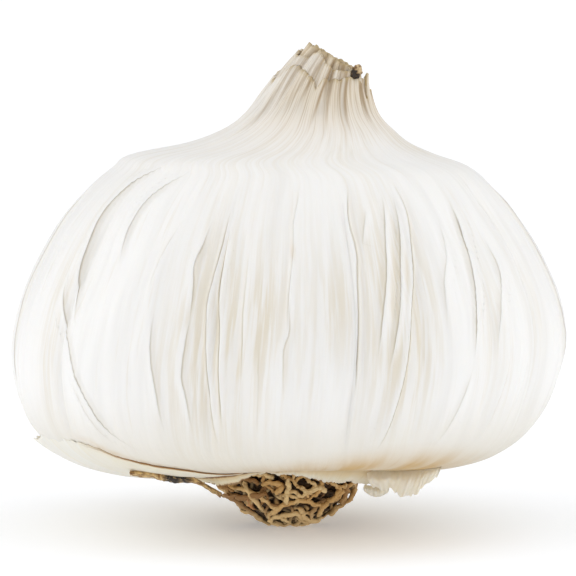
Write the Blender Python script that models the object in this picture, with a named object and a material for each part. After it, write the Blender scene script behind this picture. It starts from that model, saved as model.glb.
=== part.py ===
"""A garlic bulb that stands on its dried roots.

Metres, +Z up. The origin is the middle of the small flat spot under the roots, on the surface
that the bulb stands on. -Y is the side that faces the viewer and +X is to the viewer's right.
Every size below is written in millimetres and turned into metres where a mesh is made.
"""

import math
import random

import bmesh
import bpy
from mathutils import Vector, noise

MM = 0.001

# Driving dimensions of the bulb
BULB_WIDTH = 64.0
BULB_DEPTH = 61.0
HALF_WIDTH = BULB_WIDTH / 2
FLATTENING = BULB_DEPTH / BULB_WIDTH

# The bulb's outline, from the middle of the dimple that holds the root plate, out over the
# belly and up the neck: height, half width as a share of HALF_WIDTH, and sideways lean of
# the middle, because the neck leans to the right and the left shoulder is the higher one.
BULB_OUTLINE = (
    (7.6, 0.000, 0.0),
    (7.5, 0.125, 0.0),
    (6.9, 0.245, 0.0),
    (6.2, 0.330, 0.0),
    (6.3, 0.430, 0.0),
    (6.6, 0.545, 0.0),
    (7.3, 0.660, -0.1),
    (8.7, 0.785, -0.4),
    (11.2, 0.895, -0.7),
    (14.8, 0.962, -0.7),
    (20.6, 1.000, -0.3),
    (26.3, 0.976, 0.1),
    (31.6, 0.910, 0.25),
    (36.2, 0.825, 0.25),
    (39.8, 0.735, 0.4),
    (42.2, 0.650, 0.4),
    (43.6, 0.560, -0.6),
    (44.9, 0.415, 1.1),
    (46.6, 0.316, 2.3),
    (48.6, 0.243, 2.8),
    (51.2, 0.192, 3.4),
    (54.0, 0.155, 4.4),
    (57.5, 0.115, 6.2),
)
RINGS_PER_STEP = (1, 1, 1, 1, 1, 1, 1, 1, 2, 2, 2, 2, 2, 1, 1, 1, 1, 1)
LAST_OF_UNDERSIDE = 9
FIRST_OF_SHOULDER = 10
COLUMNS = 96

# The underside is a little higher towards the viewer, with its height in the middle of that side
FRONT_LIFT = 1.0
FRONT_DIRECTION = math.radians(-82)
LIFT_ENDS_BELOW = 13.0

# The cloves: the direction of each valley between two cloves, in degrees round from +X
CLOVE_VALLEYS = (-144, -105, -76, -62, -43, -27, 8, 44, 82, 121, 160, 187)
CLOVE_BULGE = 0.95
CLOVE_FOOT = (9.0, 17.0)
CLOVE_SHOULDER = (34.5, 43.0)
USUAL_CLOVE = 30.0

# Pleats of the papery wrapper: shallow creases on the belly, gathers in the neck
BELLY_PLEAT = 0.22
BELLY_PLEAT_PITCH = 5.0
NECK_PLEAT = 0.30
COLUMNS_PER_GATHER = 3
NECK_GATHERS = (43.5, 48.5)

# The cut across the neck falls to the right
CUT_HEIGHT = 55.9
CUT_MIDDLE = 3.0
CUT_SLOPE = -0.6
CUT_TOP = 56.6
CUT_RAGGED = 0.45
NECK_WALL = 1.0
NECK_SHARES = (0.0, 0.35, 0.7, 1.0)
RIM_CHAMFER = 0.2
SOCKET_DEPTH = 3.4
FIT_GAP = 0.3

# The dry sheaths inside the neck, by inset from the neck's outside: from, to, height over the cut
SHEATHS = ((1.3, 2.0, 0.1), (2.4, 3.1, -0.1), (3.5, 4.1, 0.3))
SHEATH_GROOVE = 1.3
GROOVE_SIDE = 0.05
SHEATH_MIDDLE = 0.4
SHEATH_RIGHT_LIFT = 1.0
SHEATH_RAGGED = 0.9
SHEATH_COLUMNS = 48

# The root plate, with its low crown as (share of its radius, rise), and the bowl of matted
# roots below it
PLATE_RADIUS = 7.8
PLATE_TOP = 6.0
PLATE_CROWN = ((1.0, 0.0), (0.75, 0.35), (0.4, 0.7))
PLATE_CROWN_TOP = 0.85
TUFT_TOP = 4.5
PLATE_FOOT_RISE = 0.2
TUFT_RIM = 8.3
TUFT_FLAT = 3.0
TUFT_CURVE = 0.7
CORE_INSET = 0.7
CORE_COLUMNS = 24
CORE_DROPS = (0.8, 0.55, 0.3, 0.05)

# The worn flat spot has three corners, so that the bulb settles on three low points
FOOT_CORNERS = 3
FOOT_REACH = 4.0
FOOT_HOLLOW = 0.9
ROOT_COUNT = 30
ROOT_RADIUS = 0.46
ROOT_SIDES = 5
ROOT_POINTS = 9
ROOT_STEP = 1.3
ROOT_LIFT = -0.2
ROOT_WAVE = 0.35
ROOT_SUNK = -0.85
ROOT_CLEARANCE = 0.12
ROOT_SEED = 11

# Scraps of the outermost skin, still held at the root plate
SKIN_THICKNESS = 0.62
SKIN_GAP = 0.4
SKIN_FOOT = 9.0
SCRAP_FOOT = 9.4
LEAST_REACH = 0.8

# Where each scrap starts and ends, in degrees round from +X, with its rows and columns
LEFT_FLAP = ((150, 244), (7, 19))
LEFT_SCRAP = ((196, 226), (7, 7))
RIGHT_FLAP = ((-42, 24), (7, 15))
FRONT_COLLAR = ((-113, -46), (4, 17))
BACK_COLLAR = ((28, 146), (4, 23))

SKIN_WHITE = (0.86, 0.83, 0.77, 1.0)
SHEATH_BEIGE = (0.66, 0.55, 0.42, 1.0)
ROOT_BROWN = (0.42, 0.25, 0.10, 1.0)
SCRAP_BROWN = (0.30, 0.17, 0.07, 1.0)


def clear_scene():
    for obj in list(bpy.data.objects):
        bpy.data.objects.remove(obj)


def material(name, colour, roughness):
    made = bpy.data.materials.new(name)
    made.use_nodes = True
    shader = made.node_tree.nodes["Principled BSDF"]
    shader.inputs["Base Color"].default_value = colour
    shader.inputs["Roughness"].default_value = roughness
    shader.inputs["Metallic"].default_value = 0.0
    return made


def add_object(name, points, faces, look):
    """A smooth shaded mesh object from points in millimetres, with every face turned out."""
    mesh = bpy.data.meshes.new(name)
    mesh.from_pydata([Vector(p) * MM for p in points], [], faces)
    mesh.materials.append(look)
    work = bmesh.new()
    work.from_mesh(mesh)
    bmesh.ops.recalc_face_normals(work, faces=work.faces)
    work.to_mesh(mesh)
    work.free()
    mesh.shade_smooth()
    mesh.set_sharp_from_angle(angle=math.radians(50))
    obj = bpy.data.objects.new(name, mesh)
    bpy.context.scene.collection.objects.link(obj)
    return obj


def spline(before, start, end, after, share):
    """Catmull-Rom blend of four numbers, from start at 0 to end at 1."""
    return 0.5 * (
        2 * start
        + (end - before) * share
        + (2 * before - 5 * start + 4 * end - after) * share**2
        + (3 * start - before - 3 * end + after) * share**3
    )


def smooth_between(low, high, value):
    share = min(max((value - low) / (high - low), 0.0), 1.0)
    return share * share * (3 - 2 * share)


def outline_at(step):
    """Height, half width and lean of the bulb's outline at a fractional step of BULB_OUTLINE."""
    last = len(BULB_OUTLINE) - 1
    index = min(int(step), last - 1)
    near = [BULB_OUTLINE[min(max(index + k, 0), last)] for k in (-1, 0, 1, 2)]
    height, share, lean = (spline(*values, step - index) for values in zip(*near))
    return height, max(share, 0.0) * HALF_WIDTH, lean


def find_step(low, high, column, wanted):
    """The step between low and high where this column of the outline reaches a value."""
    for _ in range(30):
        middle = (low + high) / 2
        if outline_at(middle)[column] < wanted:
            low = middle
        else:
            high = middle
    return low


def step_at_radius(radius):
    return find_step(0.0, LAST_OF_UNDERSIDE, 1, radius)


def step_at_height(height):
    return find_step(FIRST_OF_SHOULDER, len(BULB_OUTLINE) - 1.0, 0, height)


def clove_swell(angle, height):
    """How far the cloves push the wrapper out, in millimetres: most between two valleys."""
    degrees = math.degrees(angle)
    valleys = sorted((valley - degrees) % 360 for valley in CLOVE_VALLEYS)
    ahead, behind = valleys[0], 360 - valleys[-1]
    span = min((ahead + behind) / USUAL_CLOVE, 1.3)
    hump = math.sin(math.pi * behind / (ahead + behind)) ** 0.7 - 0.7
    rise = smooth_between(*CLOVE_FOOT, height)
    fall = 1 - smooth_between(*CLOVE_SHOULDER, height)
    return CLOVE_BULGE * span * hump * rise * fall


def pleat(angle, height):
    """Creases that run up the wrapper, and the closer gathers of the neck."""
    turn = Vector((math.cos(angle), math.sin(angle), 0.0))
    wave = noise.noise(turn * BELLY_PLEAT_PITCH + Vector((0.0, 0.0, height * 0.02)))
    crease = 1 - 4 * abs(wave)
    belly = smooth_between(*CLOVE_FOOT, height) * (1 - smooth_between(*CLOVE_SHOULDER, height))
    neck = smooth_between(*NECK_GATHERS, height)
    gather = math.cos(angle * COLUMNS / COLUMNS_PER_GATHER + 2 * wave)
    return NECK_PLEAT * neck * gather - BELLY_PLEAT * belly * crease


def around(angle, half_width, lean, height):
    depth = half_width * FLATTENING
    return Vector((lean + half_width * math.cos(angle), depth * math.sin(angle), height))


def bulb_point(angle, step):
    """A point of the wrapper's outside."""
    height, half_width, lean = outline_at(step)
    swell = clove_swell(angle, height) + pleat(angle, height)
    point = around(angle, half_width + swell, lean, height)
    if step < LAST_OF_UNDERSIDE:
        facing = max(math.cos(angle - FRONT_DIRECTION), 0.0) ** 2
        point.z += FRONT_LIFT * facing * (1 - smooth_between(0.0, LIFT_ENDS_BELOW, height))
    return point


def bulb_normal(angle, step):
    """The outward direction of the wrapper at a point."""
    turn, rise = 0.02, 0.05
    across = bulb_point(angle + turn, step) - bulb_point(angle - turn, step)
    along = bulb_point(angle, step + rise) - bulb_point(angle, step - rise)
    return across.cross(along).normalized()


def neck_point(angle, height, inset):
    """A point of the neck at this height, inset from its outside."""
    _, half_width, lean = outline_at(step_at_height(height))
    return around(angle, half_width - inset, lean, height)


def neck_rim(angle, inset=0.0):
    """Where the neck at this angle meets the slanting cut."""
    height = CUT_HEIGHT
    for _ in range(12):
        across = neck_point(angle, height, inset).x - CUT_MIDDLE
        height = 0.5 * (height + min(CUT_HEIGHT + CUT_SLOPE * across, CUT_TOP))
    return height


def ragged(angle, layer, reach):
    """A torn edge: uneven steps of up to reach, the same each run."""
    turn = Vector((math.cos(angle), math.sin(angle), 0.0))
    coarse = noise.noise(turn * 2.1 + Vector((0.0, 0.0, 7.3 * layer)))
    fine = noise.noise(turn * 9.0 + Vector((0.0, 0.0, 3.1 * layer)))
    return reach * (coarse + 0.8 * fine)


def turns(count):
    return [math.tau * k / count for k in range(count)]


def lathe(name, foot, rings, top, look):
    """A closed solid from a foot point, rings of equal length and a top point."""
    columns = len(rings[0])
    last = 1 + (len(rings) - 1) * columns
    faces = []
    for c in range(columns):
        following = (c + 1) % columns
        faces.append((0, 1 + following, 1 + c))
        for low in range(1, last, columns):
            high = low + columns
            faces.append((low + c, low + following, high + following, high + c))
        faces.append((last + c, last + following, last + columns))
    points = [foot] + [point for ring in rings for point in ring] + [top]
    return add_object(name, points, faces, look)


def middle_of(ring):
    return sum(ring, Vector()) / len(ring)


def bulb(look):
    """The cloves in their tight wrapper, up to the slanting cut, with a socket in the neck."""
    angles = turns(COLUMNS)
    steps = [i + k / count for i, count in enumerate(RINGS_PER_STEP) for k in range(count)]
    rings = [[bulb_point(a, step) for a in angles] for step in steps[1:]]
    rims = [neck_rim(a) + ragged(a, 0, CUT_RAGGED) for a in angles]
    neck_foot = outline_at(len(RINGS_PER_STEP))[0]
    for share in NECK_SHARES:
        heights = [neck_foot + (rim - neck_foot) * share for rim in rims]
        rings.append([bulb_point(a, step_at_height(h)) for a, h in zip(angles, heights)])
    rings.append([neck_point(a, rim - RIM_CHAMFER, NECK_WALL) for a, rim in zip(angles, rims)])
    rings.append([neck_point(a, neck_rim(a) - SOCKET_DEPTH, NECK_WALL) for a in angles])
    foot = around(0.0, 0.0, 0.0, outline_at(0)[0])
    return lathe("bulb", foot, rings, middle_of(rings[-1]), look)


def neck_sheaths(look):
    """The cut ends of the inner leaf sheaths, nested in the neck's socket."""
    angles = turns(SHEATH_COLUMNS)
    outside = SHEATHS[0][0]
    rings = []
    for below in (SOCKET_DEPTH - FIT_GAP, FIT_GAP):
        rings.append([neck_point(a, neck_rim(a) - below, outside) for a in angles])
    for layer, (start, end, lift) in enumerate(SHEATHS, 1):
        for inset in (start, end):
            ring = []
            for a in angles:
                stand = lift + SHEATH_RIGHT_LIFT * max(math.cos(a), 0.0)
                top = neck_rim(a, inset) + stand + ragged(a, layer, SHEATH_RAGGED)
                ring.append(neck_point(a, top, inset))
            rings.append(ring)
        following = SHEATHS[layer][0] if layer < len(SHEATHS) else end + SHEATH_MIDDLE
        for inset in (end + GROOVE_SIDE, following - GROOVE_SIDE):
            deep = [neck_rim(a, inset) - SHEATH_GROOVE for a in angles]
            rings.append([neck_point(a, z, inset) for a, z in zip(angles, deep)])
    return lathe("neck_sheaths", middle_of(rings[0]), rings, middle_of(rings[-1]), look)


def tuft_point(turn, drop, lift):
    """A point on the bowl of roots: drop is 0 at its rim, 1 at the edge of its flat spot and
    2 at the middle. lift is how far the point stands out of the bowl."""
    outward = Vector((math.cos(turn), math.sin(turn), 0.0))
    if drop > 1:
        return outward * TUFT_FLAT * (2 - drop) + Vector((0.0, 0.0, -lift))
    share = 1 - drop
    radius = TUFT_FLAT + (TUFT_RIM - TUFT_FLAT) * share**TUFT_CURVE
    facing = (outward * (0.4 + 0.6 * share) + Vector((0.0, 0.0, -0.8 * drop - 0.2))).normalized()
    return outward * radius + Vector((0.0, 0.0, TUFT_TOP * share)) + facing * lift


def tube(name, path, look):
    """A root: a tube along a path, thinner at both ends."""
    points, faces = [], []
    side = Vector((0.31, 0.52, 0.79))
    last = len(path) - 1
    for index, point in enumerate(path):
        ahead = path[min(index + 1, last)] - path[max(index - 1, 0)]
        side = (side - side.project(ahead)).normalized()
        other = ahead.normalized().cross(side)
        girth = ROOT_RADIUS * (0.62 if index in (0, last) else 1.0)
        for bend in turns(ROOT_SIDES):
            points.append(point + (side * math.cos(bend) + other * math.sin(bend)) * girth)
    for low in range(0, last * ROOT_SIDES, ROOT_SIDES):
        for k in range(ROOT_SIDES):
            following, high = (k + 1) % ROOT_SIDES, low + ROOT_SIDES
            faces.append((low + k, low + following, high + following, high + k))
    faces.append(tuple(reversed(range(ROOT_SIDES))))
    faces.append(tuple(last * ROOT_SIDES + k for k in range(ROOT_SIDES)))
    return add_object(name, points, faces, look)


def root_path(draw, number):
    """One root: it leaves the plate, or the underside for every third one, and wanders round
    the bowl, dipping in and out of it. Both its ends are sunk well in."""
    from_rim = number % 3 > 0
    turn = math.tau * number / ROOT_COUNT + draw.uniform(-0.12, 0.12)
    drop = draw.uniform(0.02, 0.12) if from_rim else draw.uniform(0.7, 1.2)
    heading = draw.uniform(-1.1, 1.1) if from_rim else draw.uniform(0.9, 2.2)
    bend = draw.uniform(-0.25, 0.25)
    path = []
    for index in range(ROOT_POINTS):
        sunk = index in (0, ROOT_POINTS - 1)
        lift = ROOT_SUNK if sunk else ROOT_LIFT + ROOT_WAVE * math.sin(index * 1.3 + number)
        point = tuft_point(turn, drop, lift)
        point.z = max(point.z, ROOT_RADIUS + ROOT_CLEARANCE)
        path.append(point)
        radius = max(math.hypot(path[-1].x, path[-1].y), 1.5)
        turn += ROOT_STEP * math.sin(heading) / radius
        drop = min(max(drop + 0.8 * ROOT_STEP * math.cos(heading) / TUFT_TOP, 0.03), 1.75)
        heading += bend + draw.uniform(-0.35, 0.35)
    return path


def foot_reach(angle):
    """How far the flat spot reaches: out to its corners, and a little hollow between them."""
    sector = math.tau / FOOT_CORNERS
    from_corner = min(angle % sector, sector - angle % sector)
    if from_corner < 0.01:
        return FOOT_REACH
    return FOOT_HOLLOW * FOOT_REACH * math.cos(sector / 2) / math.cos(sector / 2 - from_corner)


def root_core(look):
    """The root plate with the closely matted middle of the roots, a little inside the bowl,
    and the flat spot that the bulb stands on."""
    angles = turns(CORE_COLUMNS)

    def ring(radius, height):
        return [Vector((radius * math.cos(a), radius * math.sin(a), height)) for a in angles]

    reaches = [foot_reach(a) for a in angles]
    foot = [Vector((r * math.cos(a), r * math.sin(a), 0.0)) for a, r in zip(angles, reaches)]
    rings = [foot]
    for drop in CORE_DROPS:
        rings.append([tuft_point(a, drop, -CORE_INSET) for a in angles])
    rings.append(ring(PLATE_RADIUS, TUFT_TOP + PLATE_FOOT_RISE))
    rings += [ring(PLATE_RADIUS * share, PLATE_TOP + rise) for share, rise in PLATE_CROWN]
    top = Vector((0.0, 0.0, PLATE_TOP + PLATE_CROWN_TOP))
    return lathe("root_tuft", Vector((0.0, 0.0, 0.0)), rings, top, look)


def keep_largest_body(mesh):
    """Drops loose scraps and fills the hollows that crossing roots have sealed."""
    work = bmesh.new()
    work.from_mesh(mesh)
    left, bodies = set(work.faces), []
    while left:
        body, edge = set(), [left.pop()]
        while edge:
            face = edge.pop()
            body.add(face)
            beside = {other for side in face.edges for other in side.link_faces} & left
            left -= beside
            edge += beside
        bodies.append(body)
    bodies.sort(key=len)
    loose = [face for body in bodies[:-1] for face in body]
    bmesh.ops.delete(work, geom=loose, context="FACES")
    work.to_mesh(mesh)
    work.free()


def root_tuft(look):
    """Dried roots, fused where they cross and with the matted core that they grow from. The
    MANIFOLD solver joins them, because EXACT can leave a sealed pocket where many cross."""
    core = root_core(look)
    draw = random.Random(ROOT_SEED)
    strands = bpy.data.collections.new("strands")
    bpy.context.scene.collection.children.link(strands)
    for number in range(ROOT_COUNT):
        strand = tube(f"strand_{number}", root_path(draw, number), look)
        bpy.context.scene.collection.objects.unlink(strand)
        strands.objects.link(strand)
    join = core.modifiers.new("join roots", "BOOLEAN")
    join.operation, join.solver = "UNION", "MANIFOLD"
    join.operand_type, join.collection = "COLLECTION", strands
    graph = bpy.context.evaluated_depsgraph_get()
    mesh = bpy.data.meshes.new_from_object(core.evaluated_get(graph))
    core.modifiers.clear()
    core.data = mesh
    keep_largest_body(mesh)
    for helper in list(strands.objects):
        bpy.data.objects.remove(helper)
    bpy.data.collections.remove(strands)
    return core


def blade(name, rows, look):
    """A thin skin from rows of (point on its bulb side, direction it faces). Both faces are
    split into triangles alike, so that a waved skin never meets itself."""
    across = len(rows[0])
    near = [point for row in rows for point, _ in row]
    far = [point + facing * SKIN_THICKNESS for row in rows for point, facing in row]
    size = len(near)
    faces = []
    for r in range(len(rows) - 1):
        for c in range(across - 1):
            a, b = r * across + c, r * across + c + 1
            d, e = a + across, b + across
            for triangle in ((a, b, e), (a, e, d)):
                faces.append(triangle)
                faces.append(tuple(size + k for k in reversed(triangle)))
    edge = list(range(across)) + [r * across + across - 1 for r in range(1, len(rows))]
    edge += [size - across + c for c in range(across - 2, -1, -1)]
    edge += [r * across for r in range(len(rows) - 2, 0, -1)]
    for k, start in enumerate(edge):
        end = edge[(k + 1) % len(edge)]
        faces.append((end, start, size + start, size + end))
    return add_object(name, near + far, faces, look)


def skin_scrap(name, look, span, grid, reach, stand_off, torn, foot=SKIN_FOOT):
    """A scrap of the outermost skin. It starts at the root plate, between two directions in
    degrees, and follows the bulb's underside out to reach(share round), standing off it by
    stand_off(share round, share out)."""
    rows, columns = grid
    points = []
    for r in range(rows):
        out = r / (rows - 1)
        row = []
        for c in range(columns):
            turn = c / (columns - 1)
            angle = math.radians(span[0] + (span[1] - span[0]) * turn)
            wanted = max(reach(turn) + ragged(angle * 3, 5, torn), foot + LEAST_REACH)
            round_foot = foot / math.hypot(math.cos(angle), math.sin(angle) * FLATTENING)
            start, end = step_at_radius(round_foot), step_at_radius(wanted)
            step = start + (end - start) * out
            facing = bulb_normal(angle, step)
            near = bulb_point(angle, step) + facing * (SKIN_GAP + stand_off(turn, out))
            row.append((near, facing))
        points.append(row)
    return blade(name, points, look)


def left_stand_off(turn, out):
    """How far the left flap leaves the bulb: most at its tip, in the middle of its edge."""
    return 0.95 * out**2 * (0.3 + 0.8 * math.sin(math.pi * turn) + 0.12 * math.sin(turn * 16))


def left_flap(look):
    """The large pale flap that still hugs the lower left of the bulb."""

    def reach(turn):
        return 30.6 - 4.0 * turn - 14.0 * turn**4

    skin_scrap("left_flap", look, *LEFT_FLAP, reach, left_stand_off, 0.8)


def left_scrap(look):
    """A brown rag of skin that runs out under the left flap."""

    def reach(turn):
        return 18.5 - 5.0 * abs(2 * turn - 1)

    def stand_off(turn, out):
        return SKIN_THICKNESS + SKIN_GAP + 0.5 * out + 0.25 * math.sin(out * 8 + turn * 5)

    skin_scrap("left_scrap", look, *LEFT_SCRAP, reach, stand_off, 1.0, foot=SCRAP_FOOT)


def right_flap(look):
    """The torn flap at the lower right, which droops clear of the bulb."""

    def reach(turn):
        return 16.4 + 2.4 * math.sin(turn * 4.0)

    def stand_off(turn, out):
        droop = 1 - smooth_between(0.1, 0.65, turn)
        return 3.0 * out**1.4 * droop + 0.2 * out * math.sin(turn * 15)

    skin_scrap("right_flap", look, *RIGHT_FLAP, reach, stand_off, 1.5)


def front_collar(look):
    """The low frill of torn skin along the front of the root plate."""

    def reach(turn):
        return 11.6 + 0.7 * math.sin(turn * 7.0)

    def stand_off(turn, out):
        return 0.35 * out * (1 + math.sin(turn * 11.0))

    skin_scrap("front_collar", look, *FRONT_COLLAR, reach, stand_off, 0.7)


def back_collar(look):
    """The same frill behind, where the skin was torn off."""

    def reach(turn):
        return 12.4 + 1.6 * math.sin(turn * 8.0)

    def stand_off(turn, out):
        return 0.4 * out * (1 + math.sin(turn * 13.0))

    skin_scrap("back_collar", look, *BACK_COLLAR, reach, stand_off, 0.9)


def build():
    clear_scene()
    white = material("garlic skin", SKIN_WHITE, 0.45)
    beige = material("dry sheath", SHEATH_BEIGE, 0.7)
    brown = material("dried root", ROOT_BROWN, 0.75)
    dark = material("torn brown skin", SCRAP_BROWN, 0.75)
    bulb(white)
    neck_sheaths(beige)
    root_tuft(brown)
    left_flap(white)
    left_scrap(dark)
    right_flap(white)
    front_collar(white)
    back_collar(white)


build()
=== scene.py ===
# %% [markdown]
# # A garlic bulb on its dried roots
# This lesson dresses a plain solid model of a garlic bulb in its real surfaces: papery skin with
# its pleats, a wrinkled neck with torn sheaths, a bowl of curled roots, and the rags of old skin
# at the base. Lengths are in millimetres and are turned into metres when a mesh is made.

# %% Load the solid model
import math
import random

import bpy
import numpy as np
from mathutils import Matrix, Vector, noise


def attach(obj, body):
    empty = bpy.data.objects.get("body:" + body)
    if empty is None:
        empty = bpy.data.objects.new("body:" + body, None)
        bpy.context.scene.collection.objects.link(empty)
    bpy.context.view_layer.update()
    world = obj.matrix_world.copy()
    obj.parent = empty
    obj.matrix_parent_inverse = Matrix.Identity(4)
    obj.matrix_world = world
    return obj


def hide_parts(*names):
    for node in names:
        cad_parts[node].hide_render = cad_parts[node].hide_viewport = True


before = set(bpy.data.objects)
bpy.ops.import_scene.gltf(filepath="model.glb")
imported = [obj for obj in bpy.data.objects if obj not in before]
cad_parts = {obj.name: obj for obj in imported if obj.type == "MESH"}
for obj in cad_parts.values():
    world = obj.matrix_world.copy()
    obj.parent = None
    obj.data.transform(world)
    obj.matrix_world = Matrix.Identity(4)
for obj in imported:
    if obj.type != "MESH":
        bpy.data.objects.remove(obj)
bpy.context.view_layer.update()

MM = 0.001
print("solid pieces:", sorted(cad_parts))

# %% [markdown]
# ## The camera
# The bulb was photographed from just above the table, from about forty centimetres with a long
# lens, so that its sides hardly narrow away. The camera comes first, because every later choice
# is judged through it.

# %% Place the camera
EYE_DISTANCE = 420.0
EYE_ELEVATION = math.radians(5.0)
EYE_TARGET_HEIGHT = 27.92
LENS = 223.5

bpy.ops.object.select_all(action="DESELECT")
bpy.ops.object.camera_add(
    location=(
        0.0,
        -EYE_DISTANCE * math.cos(EYE_ELEVATION) * MM,
        (EYE_TARGET_HEIGHT + EYE_DISTANCE * math.sin(EYE_ELEVATION)) * MM,
    ),
    rotation=(math.radians(90.0) - EYE_ELEVATION, 0.0, 0.0),
)
camera = bpy.context.object
camera.name = "viewer"
camera.data.lens = LENS
camera.data.sensor_width = 36.0
bpy.context.scene.camera = camera
print("camera at", [round(value, 4) for value in camera.location])

# %% [markdown]
# ## The outline of the bulb
# Cut a bulb down the middle and its edge is a smooth line: a dimple under the root plate, a round
# belly, a shoulder that is almost flat on the left, and a neck that leans to the right. The line
# is written as a few points: height, half width as a share of the belly's, and sideways lean.
# A Catmull-Rom curve runs through them, so that a few points are enough.

# %% Write down the outline
HALF_WIDTH = 32.0
FLATTENING = 61.0 / 64.0
BULB_OUTLINE = np.array((
    (7.6, 0.000, 0.0),
    (7.5, 0.125, 0.0),
    (6.9, 0.245, 0.0),
    (6.2, 0.330, 0.0),
    (6.3, 0.430, 0.0),
    (6.6, 0.545, 0.0),
    (7.3, 0.660, -0.1),
    (8.7, 0.785, -0.4),
    (11.2, 0.895, -0.7),
    (14.8, 0.962, -0.7),
    (20.6, 1.000, -0.3),
    (26.3, 0.976, 0.1),
    (31.6, 0.910, 0.25),
    (36.2, 0.825, 0.25),
    (39.8, 0.735, 0.4),
    (42.2, 0.650, 0.4),
    (43.6, 0.560, -0.6),
    (44.9, 0.415, 1.1),
    (46.6, 0.316, 2.3),
    (48.6, 0.243, 2.8),
    (51.2, 0.192, 3.4),
    (54.0, 0.155, 4.4),
    (57.5, 0.115, 6.2),
))
END_OF_UNDERSIDE = 9.0
NECK_FOOT = 18.0
LAST_STEP = len(BULB_OUTLINE) - 1.0


def smooth_through(rows, step):
    """A Catmull-Rom curve through rows of numbers, read at fractional steps."""
    rows = np.asarray(rows, float)
    last = len(rows) - 1
    step = np.asarray(step, float)
    index = np.clip(np.floor(step).astype(int), 0, last - 1)
    share = (step - index).reshape(step.shape + (1,) * (rows.ndim - 1))
    before, start, end, after = (rows[np.clip(index + offset, 0, last)] for offset in (-1, 0, 1, 2))
    return 0.5 * (
        2 * start
        + (end - before) * share
        + (2 * before - 5 * start + 4 * end - after) * share**2
        + (3 * start - before - 3 * end + after) * share**3
    )


def outline_at(step):
    """Height, half width and lean at fractional steps along the outline."""
    found = smooth_through(BULB_OUTLINE, step)
    return found[..., 0], np.maximum(found[..., 1], 0.0) * HALF_WIDTH, found[..., 2]


FINE_STEPS = np.linspace(0.0, LAST_STEP, 4401)
FINE_HEIGHTS, FINE_HALVES, _ = outline_at(FINE_STEPS)
FINE_LENGTHS = np.concatenate((
    [0.0], np.cumsum(np.hypot(np.diff(FINE_HEIGHTS), np.diff(FINE_HALVES)))
))
UPPER = FINE_STEPS > 8.0


def step_at_height(height):
    """The step of the belly, shoulder or neck that lies at this height."""
    return np.interp(height, FINE_HEIGHTS[UPPER], FINE_STEPS[UPPER])


def step_at_radius(radius):
    """The step of the underside that lies at this distance from the middle."""
    under = FINE_STEPS <= END_OF_UNDERSIDE
    return np.interp(radius, FINE_HALVES[under], FINE_STEPS[under])


def length_at(step):
    """How far along the outline a step lies, from the middle of the underside."""
    return np.interp(step, FINE_STEPS, FINE_LENGTHS)


print("outline is", round(float(FINE_LENGTHS[-1]), 1), "mm long")

# %% [markdown]
# ## Cloves under the skin
# The wrapper is pulled tight over the cloves, so the belly isn't round: it swells over each clove
# and sinks a little between two. The swelling is a formula of the direction round the bulb, with
# one list of valleys. The same formula shapes the solid model, so both have the same cloves.

# %% Swell the belly over the cloves
CLOVE_VALLEYS = np.sort(np.array((-144, -105, -76, -62, -43, -27, 8, 44, 82, 121, 160, 187)) % 360)
CLOVE_BULGE = 0.95
CLOVE_FOOT = (9.0, 17.0)
CLOVE_SHOULDER = (34.5, 43.0)
USUAL_CLOVE = 30.0
FRONT_LIFT = 4.2
FRONT_DIRECTION = math.radians(-82)
LIFT_ENDS_BELOW = 13.0


def smooth_between(low, high, value):
    share = np.clip((value - low) / (high - low), 0.0, 1.0)
    return share * share * (3 - 2 * share)


def clove_swell(angle, height):
    """How far the cloves push the wrapper out: most between two valleys."""
    degrees = np.degrees(angle) % 360
    count = len(CLOVE_VALLEYS)
    index = np.searchsorted(CLOVE_VALLEYS, degrees)
    ahead = CLOVE_VALLEYS[index % count] + 360 * (index == count) - degrees
    behind = degrees - (CLOVE_VALLEYS[index - 1] - 360 * (index == 0))
    span = np.minimum((ahead + behind) / USUAL_CLOVE, 1.3)
    hump = np.maximum(np.sin(np.pi * behind / (ahead + behind)), 0.0) ** 0.7 - 0.7
    rise = smooth_between(*CLOVE_FOOT, height) * (1 - smooth_between(*CLOVE_SHOULDER, height))
    return CLOVE_BULGE * span * hump * rise


def wrapper(angle, step, inset=0.0):
    """Points of the wrapper before its fine folds, in millimetres."""
    height, half, lean = outline_at(step)
    half = half + clove_swell(angle, height) - inset
    facing = np.maximum(np.cos(angle - FRONT_DIRECTION), 0.0) ** 2
    under = np.asarray(step) < END_OF_UNDERSIDE
    lift = FRONT_LIFT * facing * (1 - smooth_between(0.0, LIFT_ENDS_BELOW, height)) * under
    x = lean + half * np.cos(angle)
    y = half * FLATTENING * np.sin(angle)
    return np.stack(np.broadcast_arrays(x, y, height + lift), axis=-1)


def outward(angle, step, inset=0.0):
    """The direction that the wrapper faces."""
    across = wrapper(angle + 0.02, step, inset) - wrapper(angle - 0.02, step, inset)
    along = wrapper(angle, step + 0.05, inset) - wrapper(angle, step - 0.05, inset)
    facing = np.cross(across, along)
    size = np.linalg.norm(facing, axis=-1, keepdims=True)
    return facing / np.maximum(size, 1e-9)


print("belly measures", round(float(np.ptp(wrapper(np.linspace(0, math.tau, 361), 10.0)[:, 0])), 1), "mm")
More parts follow.
